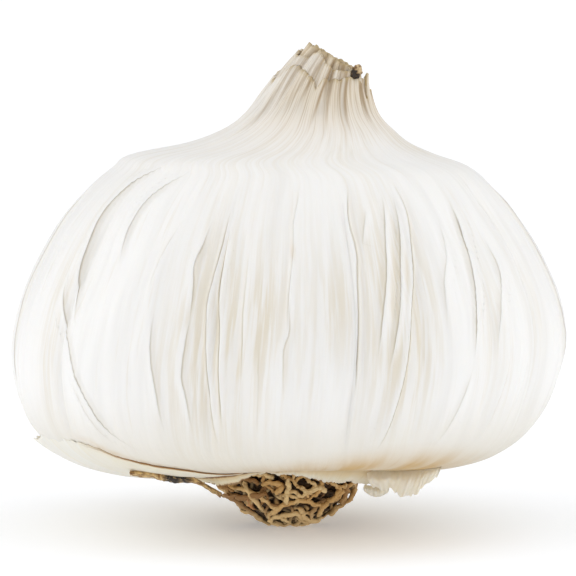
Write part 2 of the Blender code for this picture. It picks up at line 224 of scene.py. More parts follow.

# %% [markdown]
# ## Folds of the papery skin
# The wrapper is several dry leaves, which shrank as they dried and lie in long laps: one side of
# a fold rises slowly and the other drops off sharply, with a thin dark line where it drops. Each
# fold here is a path of a few places, as degrees round from the viewer's side and height, read
# from the bulb. A width, a rise and the side that it drops off to make it a real relief.

# %% List the folds that the viewer sees
# Each fold: its path from top to bottom, width of the slow side, rise, drop side, and the
# darkness of the painted shadow line at its drop
FRONT_FOLDS = (
    (((-41, 43.5), (-52, 41.9), (-56, 39.4), (-57, 37), (-56, 34), (-55, 31), (-52, 27), (-50, 24.5)),
     2.4, 0.32, 1, 0.65),
    (((-58, 31), (-57, 28.5), (-54, 25.4), (-50, 22.7), (-47, 19.8), (-44, 17.4), (-38, 13.6), (-31, 9.5)),
     2.0, 0.28, 1, 0.60),
    (((-49, 20), (-44, 15.5), (-38, 12)), 1.2, 0.12, 1, 0.3),
    (((-33, 42.9), (-39, 40.9), (-42, 39.2), (-43, 37.3), (-43, 35.1), (-42, 32)), 2.0, 0.30, 1, 0.7),
    (((-29, 28.4), (-28, 23.1), (-26, 18.1), (-25, 13.5)), 1.4, 0.20, 1, 0.5),
    (((-27, 38), (-30, 33), (-31, 27.5)), 1.6, 0.16, -1, 0.3),
    (((-20, 38), (-21, 35.1), (-22, 32.8), (-21, 29.9), (-21, 25.5)), 1.5, 0.26, 1, 0.7),
    (((-20, 28.5), (-21, 25.6), (-21, 20.7), (-20, 18.3), (-19, 13.5)), 1.3, 0.22, 1, 0.7),
    (((-15.5, 39), (-16, 35.7), (-17, 31), (-17.5, 28.6), (-17, 25.7), (-16, 22.2), (-15, 18.4),
      (-13, 12.5)), 1.3, 0.30, -1, 0.9),
    (((-14.5, 37), (-15, 32.9), (-15, 29.3), (-14, 25.7), (-13, 20.5), (-12, 14)), 1.1, 0.28, -1, 1.0),
    (((-9, 34.5), (-9.5, 30.6), (-9, 25), (-8.5, 19.5)), 1.4, 0.14, -1, 0.7),
    (((-6, 25.5), (-5.5, 20.9), (-5, 13.5)), 1.2, 0.10, 1, 0.4),
    (((3, 42), (1, 37.8), (1, 35), (0, 30.8), (0, 24.5)), 1.3, 0.20, -1, 0.5),
    (((-0.5, 30), (0, 25.8), (-1, 23.5), (0, 17.5)), 1.2, 0.14, 1, 0.6),
    (((16, 41.5), (14.5, 37.7), (15, 34), (14.5, 30.7), (14, 27.2), (14, 23.7), (14, 18)),
     2.0, 0.34, 1, 0.9),
    (((20, 39), (17, 34.5)), 0.9, 0.18, -1, 0.5),
    (((26, 40.5), (22, 33), (19.5, 27.2), (18, 22)), 0.9, 0.26, -1, 0.7),
    (((29, 40), (27, 35.3), (25, 31.7), (23, 27.1), (20.5, 20.5)), 0.8, 0.26, -1, 0.6),
    (((30.5, 42), (30.5, 38.5), (29.5, 35.2), (28, 31.7), (26, 28.2), (25, 24.7), (24, 21.1), (22.5, 15.6),
      (20, 11.5)), 1.0, 0.34, 1, 0.85),
    (((41, 38), (38, 33.7), (35, 30.4), (34, 25)), 1.6, 0.16, -1, 0.3),
    (((48, 39.5), (47, 35.9), (45, 32.5), (44, 29.6), (42, 26), (41, 21.5)), 1.8, 0.34, -1, 0.8),
    (((61, 41.5), (64, 38.1), (63.5, 35.1), (62, 32), (60, 27.5)), 2.0, 0.14, 1, 0.15),
    (((54, 36), (53, 31.3), (50, 27.5), (48, 22)), 1.3, 0.18, -1, 0.4),
    (((60, 24.5), (58, 18.6), (56, 12.5)), 1.2, 0.10, 1, 0.2),
    (((52, 23.5), (50.5, 17.6), (49, 11.5)), 1.2, 0.16, 1, 0.5),
    (((41, 21.5), (38, 15.9), (35, 12)), 1.2, 0.14, -1, 0.5),
    (((-67.5, 33.5), (-66.5, 27)), 1.0, 0.10, 1, 0.2),
)
SIDE_FOLDS = 34
FINE_FOLDS = 64
FOLD_SEED = 5


def drawn_folds(draw, count, first, turn, tops, bottoms, widths, rises, darks):
    """Folds drawn by rule over part of the turn, from the same habits as those that are listed."""
    made = []
    for number in range(count):
        start = first + turn * (number + draw.uniform(-0.4, 0.4)) / count
        top, bottom = draw.uniform(*tops), draw.uniform(*bottoms)
        sway = draw.uniform(-5.0, 5.0)
        path = [(start + sway * share**2, top + (bottom - top) * share) for share in (0, 0.3, 0.65, 1)]
        width, rise = draw.uniform(*widths), draw.uniform(*rises)
        made.append((path, width, rise, draw.choice((-1, 1)), draw.uniform(*darks)))
    return made


def round_from_viewer(degrees):
    """Degrees round from the viewer's side, positive to the right, as an angle from +X."""
    return np.radians(np.asarray(degrees, float) - 90.0)


fold_draw = random.Random(FOLD_SEED)
side_folds = drawn_folds(
    fold_draw, SIDE_FOLDS, 80.0, 200.0, (34.0, 43.8), (9.0, 20.0), (0.9, 2.3), (0.14, 0.36), (0.2, 0.8)
)
CLEAR_FOLDS = FRONT_FOLDS + tuple(side_folds)
FAINT_FOLDS = drawn_folds(
    fold_draw, FINE_FOLDS, -180.0, 360.0, (26.0, 41.0), (11.0, 24.0), (0.4, 0.9), (0.03, 0.09), (0.0, 0.0)
)
print(len(FRONT_FOLDS), "folds by hand and", SIDE_FOLDS + FINE_FOLDS, "drawn by rule")

# %% [markdown]
# ## From a fold to relief
# Across a fold the skin rises slowly, drops over a third of a millimetre and dips into a low
# groove. The relief is a formula of the distance to the fold's path, so one formula serves every
# fold. The folds are also dealt out to a few channels, so that no two near ones share one.

# %% Turn a fold into relief
DROP_WIDTH = 0.36
GROOVE_PLACE = 0.55
GROOVE_WIDTH = 0.4
GROOVE_DEPTH = 0.35
PATH_READINGS = 80
FOLD_REACH = 1.6
CHANNEL_GAP = 3.4
FOLD_CHANNELS = 5


def turn_between(angle, middle):
    """The signed turn from middle to angle, between minus and plus half a turn."""
    return (angle - middle + np.pi) % math.tau - np.pi


def degrees_from_viewer(angle):
    """An angle from +X as degrees round from the viewer's side, positive to the right."""
    return np.degrees(turn_between(angle, round_from_viewer(0.0)))


def by_degrees(table, degrees):
    """Reads a table of (degrees round from the viewer's side, value)."""
    turns, values = np.array(table, float).T
    return np.interp(degrees, turns, values)


def hill(value, middle, width):
    """A soft hill: 1 at the middle, and fading away over the width to either side."""
    return np.exp(-(((value - middle) / width) ** 2))


def fold_path(fold):
    """The fold as (places along the outline, angles), read closely along a smooth curve."""
    degrees, heights = np.array(fold[0], float).T
    along = length_at(step_at_height(heights))
    rows = np.stack((along, round_from_viewer(degrees)), axis=-1)
    rows = smooth_through(rows, np.linspace(0.0, len(rows) - 1.0, PATH_READINGS))
    return rows[rows[:, 0].argsort()].T


def fold_distance(fold, angle, place, half):
    """Millimetres past a fold, positive on the side that it drops to, and how much of it is there."""
    along, turns = fold_path(fold)
    wander = 0.05 * np.sin(place * 0.7 + turns[0] * 40.0) + 0.012 * np.sin(place * 2.9 + turns[0] * 90.0)
    distance = (turn_between(angle, np.interp(place, along, turns)) * half + wander) * fold[3]
    low, high = along[0], along[-1]
    ends = min(5.0, 0.35 * (high - low))
    present = smooth_between(low, low + ends, place) * (1 - smooth_between(high - ends, high, place))
    return distance, present


def lap(distance, width):
    """Across a fold: a slow rise, a sharp drop and a low groove beyond."""
    slow, sharp = hill(distance, 0.0, width), hill(distance, 0.0, DROP_WIDTH)
    return np.where(distance < 0, slow, sharp) - GROOVE_DEPTH * hill(distance, GROOVE_PLACE, GROOVE_WIDTH)


def too_close(one, other):
    """Whether two folds come so near to each other that they can't share a channel."""
    (places, turns), (other_places, other_turns) = fold_path(one), fold_path(other)
    low, high = max(places[0], other_places[0]) - 1.0, min(places[-1], other_places[-1]) + 1.0
    if low > high:
        return False
    read = np.linspace(low, high, 30)
    half = outline_at(np.interp(read, FINE_LENGTHS, FINE_STEPS))[1]
    apart = turn_between(np.interp(read, places, turns), np.interp(read, other_places, other_turns)) * half
    return bool(np.abs(apart).min() < CHANNEL_GAP)


def share_out(folds):
    """Deals the folds out to channels, so that no two in a channel are close to each other."""
    channels = [[] for _ in range(FOLD_CHANNELS)]
    for fold in folds:
        clashes = [sum(too_close(fold, other) for other in channel) for channel in channels]
        channels[clashes.index(min(clashes))].append(fold)
    return channels


FOLDS_BY_CHANNEL = share_out(CLEAR_FOLDS)
print("folds in each channel:", [len(channel) for channel in FOLDS_BY_CHANNEL])

# %% [markdown]
# ## Wrinkles of the neck
# Above the shoulder all the leaves are drawn together into the dry neck, so it is gathered into
# some forty wrinkles, which run up to the cut. They use the same lap as the folds, with a
# small width, and every leaf in the neck follows them.

# %% Gather the neck
WRINKLE_COUNT = 44
WRINKLE_SEED = 8
WRINKLE_MEAN = 0.12
WRINKLE_FEET = (45.2, 46.0, 46.8, 48.0, 49.5)
WRINKLE_RISES = (0.15, 0.42)
WRINKLE_CREASE_SHADES = (0.35, 1.0)
WRINKLE_DRIFT = 0.12
NECK_MIDDLE = 50.0


def neck_wrinkles():
    draw = random.Random(WRINKLE_SEED)
    made = []
    for number in range(WRINKLE_COUNT):
        angle = math.tau * (number + draw.uniform(-0.35, 0.35)) / WRINKLE_COUNT
        foot = draw.choice(WRINKLE_FEET)
        drift, rise = draw.uniform(-WRINKLE_DRIFT, WRINKLE_DRIFT), draw.uniform(*WRINKLE_RISES)
        made.append((angle, drift, foot, rise, draw.choice((-1, 1)), draw.uniform(*WRINKLE_CREASE_SHADES)))
    return made


WRINKLES = neck_wrinkles()


def wrinkle_relief(angle, height, half):
    """(relief, painted shade in the creases) of all the neck's wrinkles."""
    relief, dark = np.zeros_like(angle), np.zeros_like(angle)
    for middle, drift, foot, rise, side, depth in WRINKLES:
        distance = turn_between(angle, middle + drift * (height - NECK_MIDDLE) / 6.0) * half * side
        fade = smooth_between(foot - 1.0, foot + 3.4, height)
        relief += rise * fade * lap(distance, 0.12 + 0.07 * half)
        dark += depth * fade * hill(distance, 0.22, 0.15)
    middle_rise = WRINKLE_MEAN * smooth_between(44.0, 48.0, height)
    return relief - middle_rise, np.clip(dark, 0.0, 1.0)


print(len(WRINKLES), "wrinkles gather the neck")

# %% [markdown]
# ## The slanting cut of the neck
# The neck was cut off at a slant that falls to the right. The outermost leaf tore lower than the
# cut on the left and has a small notch in front. Its rim is the height of the cut, less a drop
# that depends on the direction, with a fine ragged edge.

# %% Cut the neck
CUT_HEIGHT = 56.45
CUT_MIDDLE = 3.0
CUT_SLOPE = -0.6
CUT_TOP = 57.05
CUT_TRIES = 14
# Drop of the outermost leaf's rim below the cut, by degrees round from the viewer's side
OUTER_DROP = (
    (-180, 1.5), (-130, 2.6), (-95, 4.0), (-70, 4.6), (-55, 3.2), (-41, 2.3), (-28, 2.4), (-15, 2.7),
    (-8, 2.9), (-3, 3.7), (2, 2.7), (12, 2.3), (24, 1.8), (30, 1.3), (36, 0.9), (50, 0.8), (57, 0.8),
    (61, 2.5), (66, 2.8), (69, -0.2), (73, -0.5), (77, 0.0), (84, 1.3), (130, 1.0), (180, 1.5),
)


def cut_height(angle, inset=0.0):
    """Where the neck at this angle meets the slanting cut, found by drawing nearer in a few tries."""
    height = np.full_like(angle, CUT_HEIGHT)
    for _ in range(CUT_TRIES):
        across = wrapper(angle, step_at_height(height), inset)[..., 0] - CUT_MIDDLE
        height = 0.5 * (height + np.minimum(CUT_HEIGHT + CUT_SLOPE * across, CUT_TOP))
    return height


def ragged(angle, layer, reach):
    """A torn edge: uneven steps, coarse and fine, the same each run."""
    steps = []
    for turn in angle:
        place = Vector((math.cos(turn), math.sin(turn), 0.0))
        coarse = noise.noise(place * 2.1 + Vector((0.0, 0.0, 7.3 * layer)))
        middling = noise.noise(place * 9.0 + Vector((0.0, 0.0, 3.1 * layer)))
        fine = noise.noise(place * 31.0 + Vector((0.0, 0.0, 5.7 * layer)))
        steps.append(coarse + 0.7 * middling + 0.5 * fine)
    return reach * np.array(steps)


def outer_rim(angle):
    drop = by_degrees(OUTER_DROP, degrees_from_viewer(angle))
    return cut_height(angle) - drop + ragged(angle, 1, 0.22)


print("cut falls from", CUT_TOP, "mm")

# %% [markdown]
# ## The wrapper
# On a lathe this would be one turned shape. The outline is drawn by extruding a single vertex
# from point to point, Spin turns it into a closed skin, and then each vertex is moved to its
# place: lean, cloves, folds, wrinkles and fine ribs. Spinning first gives a clean grid of quads
# whose columns run up the bulb as the veins of the leaf do.

# %% Draw and spin the outline
COLUMNS = 640
FRONT_CROWDING = 0.4
LOWEST_LEAF = 48.4
# Rings down the inside of the rim: how far inward and how far down
SOCKET = ((0.25, 0.05), (0.32, 0.6), (0.34, 2.2), (0.36, 5.0), (0.4, 7.4))
SOCKET_START = 0.5
SOCKET_FLOOR = 0.3
MERGE_REACH = 0.000002


def ring_spacing(step):
    """Distance between two rings: coarse where the root plate hides the skin, fine in the neck."""
    return np.interp(step, (0.0, 3.5, 4.5, 9.0, 16.0, 18.0, 22.0), (1.8, 1.4, 0.9, 0.80, 0.72, 0.36, 0.36))


def ring_steps():
    """Steps of the rings, spaced as ring_spacing says."""
    used = np.concatenate(([0.0], np.cumsum(np.diff(FINE_LENGTHS) / ring_spacing(FINE_STEPS[1:]))))
    return np.interp(np.arange(int(used[-1]) + 1), used, FINE_STEPS)


def draw_profile(name, points):
    """Draws a line in the XZ plane by extruding one vertex from point to point."""
    bpy.ops.object.select_all(action="DESELECT")
    bpy.ops.mesh.primitive_plane_add(size=0.001, location=(0.0, 0.0, 0.0))
    obj = bpy.context.object
    obj.name = obj.data.name = name
    bpy.ops.object.mode_set(mode="EDIT")
    bpy.ops.mesh.select_all(action="SELECT")
    bpy.ops.mesh.merge(type="CENTER")
    bpy.ops.transform.translate(value=(points[0][0] * MM, 0.0, points[0][1] * MM))
    for (x, z), (following_x, following_z) in zip(points, points[1:]):
        move = ((following_x - x) * MM, 0.0, (following_z - z) * MM)
        bpy.ops.mesh.extrude_region_move(TRANSFORM_OT_translate={"value": move})
    bpy.ops.mesh.select_all(action="SELECT")
    return obj


def spin_profile(columns):
    """Turns the line that was drawn into a closed skin."""
    bpy.ops.mesh.spin(steps=columns, angle=math.tau, center=(0.0, 0.0, 0.0), axis=(0.0, 0.0, 1.0))
    bpy.ops.mesh.select_all(action="SELECT")
    bpy.ops.mesh.remove_doubles(threshold=MERGE_REACH)
    bpy.ops.mesh.normals_make_consistent(inside=False)
    bpy.ops.object.mode_set(mode="OBJECT")


RING_STEPS = ring_steps()
PROFILE = [(float(half), float(height)) for height, half, _ in zip(*outline_at(RING_STEPS))]
PROFILE += [(PROFILE[-1][0] - inset, PROFILE[-1][1] - SOCKET_START - drop) for inset, drop in SOCKET]
PROFILE.append((0.0, PROFILE[-1][1] - SOCKET_FLOOR))
wrapper_skin = draw_profile("wrapper_skin", PROFILE)
spin_profile(COLUMNS)
print("spun", len(wrapper_skin.data.vertices), "vertices,", len(wrapper_skin.data.polygons), "faces")

# %% [markdown]
# ## Which vertex is where
# After spinning, Blender numbers the vertices in its own order. Each one's ring is the profile
# point at its own radius and height, and its column is its direction, so both can be found again.
# Then every ring and column is given its real place. Columns crowd a little towards the viewer,
# and the rings of the neck are pressed together or stretched so that the last one is the torn rim.

# %% Find each vertex's ring and column
VERTICES_AT_ONCE = 8000


def read_points(obj):
    points = np.empty(len(obj.data.vertices) * 3, np.float32)
    obj.data.vertices.foreach_get("co", points)
    return points.reshape(-1, 3).astype(float) / MM


def write_points(obj, points):
    obj.data.vertices.foreach_set("co", (points * MM).astype(np.float32).ravel())
    obj.data.update()


def rings_and_columns(points):
    """The ring and the column of each vertex of the spun skin."""
    radius = np.hypot(points[:, 0], points[:, 1])
    profile = np.array(PROFILE)
    ring = np.empty(len(points), int)
    for first in range(0, len(points), VERTICES_AT_ONCE):
        part = slice(first, first + VERTICES_AT_ONCE)
        away = np.hypot(radius[part, None] - profile[:, 0], points[part, 2, None] - profile[:, 1])
        ring[part] = away.argmin(axis=1)
    turn = np.arctan2(points[:, 1], points[:, 0])
    return ring, np.round(turn / math.tau * COLUMNS).astype(int) % COLUMNS


RING_OF, COLUMN_OF = rings_and_columns(read_points(wrapper_skin))
print("rings:", RING_OF.max() + 1, "columns:", COLUMN_OF.max() + 1)

# %% Work out where each ring and column belongs
even = math.tau * np.arange(COLUMNS) / COLUMNS
COLUMN_ANGLES = even - FRONT_CROWDING * np.cos(even)
rims = outer_rim(COLUMN_ANGLES)
foot_height = float(outline_at(NECK_FOOT)[0])
top_height = float(outline_at(LAST_STEP)[0])
grid_steps = np.empty((COLUMNS, len(PROFILE)))
grid_insets = np.zeros(len(PROFILE))
for ring, (_, height) in enumerate(PROFILE):
    if ring < len(RING_STEPS):
        step = RING_STEPS[ring]
        share = (height - foot_height) / (top_height - foot_height)
        reached = foot_height + (rims - foot_height) * share
        grid_steps[:, ring] = step if step <= NECK_FOOT else step_at_height(reached)
    else:
        inset, drop = SOCKET[min(ring - len(RING_STEPS), len(SOCKET) - 1)]
        grid_steps[:, ring] = step_at_height(np.maximum(rims - drop, LOWEST_LEAF))
        grid_insets[ring] = inset
grid_angles = np.repeat(COLUMN_ANGLES[:, None], len(PROFILE), axis=1)
grid_heights, grid_halves, _ = outline_at(grid_steps)
print("rim from", round(float(rims.min()), 1), "to", round(float(rims.max()), 1), "mm")

# %% [markdown]
# ## Fine ribs and soft dents
# Between the folds the skin isn't smooth. Thin veins run up it, a fraction of a millimetre high,
# and where the skin stands off the cloves it has sunk in soft hollows. Both come from smooth
# noise that is read round the bulb, so that it has no seam.

# %% Add folds, wrinkles, ribs and dents
# Soft hollows that the viewer sees: degrees round, height, half width in mm, half height, depth
DENTS = (
    (-50, 31.0, 2.2, 5.0, 0.55),
    (-40, 33.5, 2.0, 3.6, 0.50),
    (-36, 36.5, 1.6, 2.0, 0.30),
    (-20, 34.0, 1.6, 4.0, 0.25),
    (-4, 30.0, 2.2, 6.0, 0.25),
    (5, 27.0, 2.4, 5.0, 0.30),
    (44, 26.8, 1.5, 5.2, 0.55),
    (50, 35.0, 3.0, 3.0, 0.40),
    (24, 30.0, 3.2, 9.0, 0.35),
    (62, 38.0, 3.0, 3.0, 0.35),
    (-14, 23.0, 4.5, 9.0, 0.22),
)
RIB_PITCH = 34.0
RIB_LENGTH = 26.0
RIB_RISE = 0.05
BROAD_PITCH = 4.5
BROAD_LENGTH = 11.0
BROAD_RISE = 0.16
BELLY_FOOT = (7.5, 12.0)
BELLY_TOP = (43.6, 46.0)
NECK_BEGINS = (43.4, 46.0)


def noise_round(angle, along, pitch, stretch, layer):
    """Smooth noise read round the bulb: pitch sets its width, stretch its length."""
    values = [
        noise.noise(Vector((x, y, z + layer)))
        for x, y, z in zip(pitch * np.cos(angle), pitch * np.sin(angle), along / stretch)
    ]
    return np.array(values)


def in_belly(height):
    return smooth_between(*BELLY_FOOT, height) * (1 - smooth_between(*BELLY_TOP, height))


def skin_relief(angle, step, height, half):
    """(relief, painted shade in the neck's creases) of the wrapper."""
    place = length_at(step)
    belly = in_belly(height)
    relief = np.zeros_like(height)
    for fold in CLEAR_FOLDS + tuple(FAINT_FOLDS):
        distance, present = fold_distance(fold, angle, place, half)
        relief += fold[2] * present * lap(distance, fold[1])
    for degrees, middle, wide, tall, depth in DENTS:
        across = turn_between(angle, round_from_viewer(degrees)) * half
        up = place - length_at(step_at_height(middle))
        relief -= depth * np.exp(-((across / wide) ** 2) - (up / tall) ** 2)
    flat_angle, flat_place = angle.ravel(), place.ravel()
    wander = noise_round(flat_angle, flat_place, 2.0, 14.0, 3.0) * 0.10
    ribs = noise_round(flat_angle + wander, flat_place, RIB_PITCH, RIB_LENGTH, 11.0)
    broad = noise_round(flat_angle, flat_place, BROAD_PITCH, BROAD_LENGTH, 23.0)
    relief += belly * RIB_RISE * ribs.reshape(height.shape)
    relief += belly * BROAD_RISE * broad.reshape(height.shape)
    gathers, painted_crease_shade = wrinkle_relief(angle, height, half)
    above = smooth_between(*NECK_BEGINS, height)
    return relief + above * gathers, above * painted_crease_shade


grid_relief, grid_crease_shade = skin_relief(grid_angles, grid_steps, grid_heights, grid_halves)
fade_in_socket = np.where(np.arange(len(PROFILE)) < len(RING_STEPS) + 2, 1.0, 0.6)
grid_points = wrapper(grid_angles, grid_steps, grid_insets)
grid_points += outward(grid_angles, grid_steps, grid_insets) * (grid_relief * fade_in_socket)[..., None]
grid_points[:, 0] = grid_points[:, 0].mean(axis=0)
grid_points[:, -1] = grid_points[:, -2].mean(axis=0) - (0.0, 0.0, SOCKET_FLOOR)
write_points(wrapper_skin, grid_points[COLUMN_OF, RING_OF])
print("relief from", round(float(grid_relief.min()), 2), "to", round(float(grid_relief.max()), 2), "mm")

# %% [markdown]
# ## Masks that the material reads
# The colour follows the same things as the shape: dark lines of painted shadow in the folds and
# painted shade in the neck's creases, beige in the neck and in the dry bands between the cloves,
# tan at the foot, with a band of painted shade along the left flap's edge, and a cream tint towards
# the underside that is partly painted shade. Each is stored on the vertices as a named attribute.
# So is a place that runs round and along the leaf, which the vein pattern reads.

# %% Store the masks on the wrapper
# Dry beige bands between the cloves: degrees round, half width in degrees, middle, half height
BEIGE_BANDS = (
    (-17, 8, 24.0, 13.0, 1.0),
    (-9, 5, 22.0, 11.0, 0.5),
    (20, 6, 27.0, 12.0, 0.8),
    (27, 5, 27.0, 12.0, 1.0),
    (3, 8, 27.0, 12.0, 0.35),
    (-58, 4, 26.0, 16.0, 0.6),
    (47, 4, 26.0, 9.0, 0.45),
    (64, 5, 28.0, 14.0, 0.3),
    (-5, 3.5, 27.5, 6.0, 0.55),
    (10, 3.5, 28.5, 4.5, 0.6),
    (78, 16, 45.2, 1.6, 0.9),
    (-20, 60, 44.8, 2.2, 0.30),
    (100, 8, 26.0, 12.0, 0.7),
    (140, 7, 24.0, 12.0, 0.8),
    (175, 9, 26.0, 13.0, 0.6),
    (-150, 7, 25.0, 12.0, 0.8),
    (-110, 6, 27.0, 13.0, 0.7),
)
# How far the underside turns cream, partly its own tint and partly painted shade where less light
# reaches it from below, the heights it fades over, and how far the dry torn rim reaches down
UNDERSIDE_SHADE_AMOUNT = 0.90
BASE_HEIGHTS = (7.5, 19.0)
TORN_REACH = 0.7


def store(obj, name, values):
    """A named value on each vertex, for the material to read."""
    layer = obj.data.attributes.new(name, "FLOAT", "POINT")
    layer.data.foreach_set("value", np.ascontiguousarray(values, np.float32))


def store_vectors(obj, name, values):
    """Three named values on each vertex, such as its place round and along the leaf."""
    layer = obj.data.attributes.new(name, "FLOAT_VECTOR", "POINT")
    layer.data.foreach_set("vector", np.ascontiguousarray(values, np.float32).ravel())


def neck_shade(angle, height):
    """How beige the neck is: more towards the cut, and less on its left side."""
    left = hill(degrees_from_viewer(angle), -75.0, 42.0)
    return smooth_between(43.4, 51.0, height) * (1 - 0.55 * left)


def beige_bands(angle, height):
    """How dry the leaf is: the bands above, laid over each other."""
    shade = np.zeros_like(height)
    for degrees, wide, middle, tall, strength in BEIGE_BANDS:
        across = np.degrees(turn_between(angle, round_from_viewer(degrees)))
        shade += strength * hill(across, 0.0, wide) * hill(height, middle, tall)
    return np.clip(shade, 0.0, 1.0)


# Where the upper edge of the large left flap lies: degrees round, half width
LEFT_EDGE = (
    (-122, 22.0), (-112, 25.5), (-100, 27.4), (-90, 28.1), (-80, 28.6), (-66, 29.2), (-52, 29.4),
    (-46, 29.0), (-42, 28.3), (-38, 27.6), (-33, 26.4), (-29, 25.6), (-25, 24.6), (-21, 20.0), (-19, 15.0),
)


def foot_tan_and_gap_shade(angle, step):
    """Tan at the foot: a thin rim, a stain at the lower right, painted shade above the left flap's edge, a
    fleck.
    """
    height, half, _ = outline_at(step)
    seen = degrees_from_viewer(angle)
    right = hill(seen, 27.0, 32.0)
    rim = 1 - smooth_between(10.5, 15.5, half)
    stain = 1 - smooth_between(7.3, 9.4 + 3.9 * right, height)
    above = length_at(step) - length_at(step_at_radius(by_degrees(LEFT_EDGE, seen)))
    shown = smooth_between(-56.0, -42.0, seen) * (1 - smooth_between(-24.0, -17.0, seen))
    # Painted shade of the gap where the left flap's edge meets the skin, in tan
    gap_shade = 0.45 * shown * hill(above, 0.45, 0.55)
    below = step < END_OF_UNDERSIDE + 1
    fleck = hill(seen, 0.5, 0.6) * hill(height, 34.2, 0.9)
    return np.clip((rim + (0.10 + 1.20 * right) * stain + gap_shade) * below + 0.35 * fleck, 0.0, 1.0)


def leaf_places(angle, step):
    """A place on the leaf for the vein pattern: two values round it and one along it."""
    return np.stack((np.cos(angle), np.sin(angle), length_at(step) / 100.0), axis=-1)


def channel_values(folds, angle, place, half):
    """For each vertex (mm past the nearest fold of a channel, the darkness of its painted shadow, its
    rise).
    """
    nearest = np.full(angle.shape, FOLD_REACH)
    dark, rise = np.zeros(angle.shape), np.zeros(angle.shape)
    for fold in folds:
        distance, present = fold_distance(fold, angle, place, half)
        closer = (np.abs(distance) < np.abs(nearest)) & (present > 0)
        window = present * (1 - smooth_between(0.65 * FOLD_REACH, FOLD_REACH, np.abs(distance)))
        nearest = np.where(closer, distance, nearest)
        dark, rise = np.where(closer, fold[4] * window, dark), np.where(closer, fold[2] * window, rise)
    return np.stack((nearest, dark, rise), axis=-1)


at_vertex = (COLUMN_OF, RING_OF)
grid_places = length_at(grid_steps)
for number, folds in enumerate(FOLDS_BY_CHANNEL):
    values = channel_values(folds, grid_angles, grid_places, grid_halves)
    store_vectors(wrapper_skin, f"fold_{number}", values[at_vertex])
store(wrapper_skin, "crease", grid_crease_shade[at_vertex])
store(wrapper_skin, "neck", neck_shade(grid_angles, grid_heights)[at_vertex])
store(wrapper_skin, "dry", beige_bands(grid_angles, grid_heights)[at_vertex])
store(wrapper_skin, "foot", foot_tan_and_gap_shade(grid_angles, grid_steps)[at_vertex])
store(wrapper_skin, "base", (UNDERSIDE_SHADE_AMOUNT * (1 - smooth_between(*BASE_HEIGHTS, grid_heights)))[at_vertex])
rim_distance = rims[:, None] - grid_heights
store(wrapper_skin, "torn", (1 - smooth_between(0.0, TORN_REACH, rim_distance))[at_vertex])
store_vectors(wrapper_skin, "leaf_place", leaf_places(grid_angles, grid_steps)[at_vertex])
print("stored", [layer.name for layer in wrapper_skin.data.attributes if layer.data_type == "FLOAT"])

# %% [markdown]
# ## Veins, a pattern that several finishes share
# The wrapper, the neck's leaves and the rags at the foot are all the same kind of dry leaf, with
# parallel veins. The veins are a noise pattern that is stretched along the leaf, so it is made
# once as a node group. Each finish sets how close the veins are and how long they run.

# %% Build the vein group
def new_node(tree, kind, **values):
    """A node with some of its properties set by name."""
    node = tree.nodes.new(kind)
    for name, value in values.items():
        setattr(node, name, value)
    return node


class Recipe:
    """A node tree with short words for what the patterns and finishes below need."""

    def __init__(self, tree):
        self.tree = tree

    def mask(self, name):
        return new_node(self.tree, "ShaderNodeAttribute", attribute_name=name).outputs["Fac"]

    def vector(self, name):
        return new_node(self.tree, "ShaderNodeAttribute", attribute_name=name).outputs["Vector"]

    def between(self, value, low, high, to_low=0.0, to_high=1.0):
        """Spreads a value from low..high to to_low..to_high, softly at both ends."""
        node = new_node(self.tree, "ShaderNodeMapRange", interpolation_type="SMOOTHSTEP")
        for name, number in zip(("From Min", "From Max", "To Min", "To Max"), (low, high, to_low, to_high)):
            node.inputs[name].default_value = number
        self.tree.links.new(value, node.inputs["Value"])
        return node.outputs["Result"]

    def math(self, operation, first, second=0.0):
        node = new_node(self.tree, "ShaderNodeMath", operation=operation)
        for socket, value in zip(node.inputs, (first, second)):
            if isinstance(value, (int, float)):
                socket.default_value = value
            else:
                self.tree.links.new(value, socket)
        return node.outputs["Value"]

    def times(self, first, second):
        return self.math("MULTIPLY", first, second)

    def plus(self, first, second):
        return self.math("ADD", first, second)

    def blend(self, amount, below, above):
        """Colour below, turning into colour above by amount."""
        node = new_node(self.tree, "ShaderNodeMix", data_type="RGBA")
        self.tree.links.new(amount, node.inputs["Factor"])
        for socket, colour in ((node.inputs["A"], below), (node.inputs["B"], above)):
            if isinstance(colour, tuple):
                socket.default_value = (*colour, 1.0)
            else:
                self.tree.links.new(colour, socket)
        return node.outputs["Result"]


def new_group(name, takes, gives):
    """An empty node group with its sockets; returns its recipe, its inputs and its outputs."""
    group = bpy.data.node_groups.new(name, "ShaderNodeTree")
    for socket, kind in takes:
        group.interface.new_socket(socket, in_out="INPUT", socket_type="NodeSocket" + kind)
    for socket in gives:
        group.interface.new_socket(socket, in_out="OUTPUT", socket_type="NodeSocketFloat")
    start, end = new_node(group, "NodeGroupInput"), new_node(group, "NodeGroupOutput")
    return Recipe(group), start.outputs, end.inputs


def vein_group():
    recipe, takes, gives = new_group(
        "leaf_veins", (("Place", "Vector"), ("Pitch", "Float"), ("Length", "Float")), ("Veins",)
    )
    links = recipe.tree.links
    stretch = new_node(recipe.tree, "ShaderNodeCombineXYZ")
    scaled = new_node(recipe.tree, "ShaderNodeVectorMath", operation="MULTIPLY")
    veins = new_node(recipe.tree, "ShaderNodeTexNoise")
    veins.inputs["Scale"].default_value = 1.0
    veins.inputs["Detail"].default_value = 3.0
    veins.inputs["Roughness"].default_value = 0.55
    links.new(takes["Pitch"], stretch.inputs["X"])
    links.new(takes["Pitch"], stretch.inputs["Y"])
    links.new(takes["Length"], stretch.inputs["Z"])
    links.new(takes["Place"], scaled.inputs[0])
    links.new(stretch.outputs["Vector"], scaled.inputs[1])
    links.new(scaled.outputs["Vector"], veins.inputs["Vector"])
    links.new(veins.outputs["Fac"], gives["Veins"])
    return recipe.tree


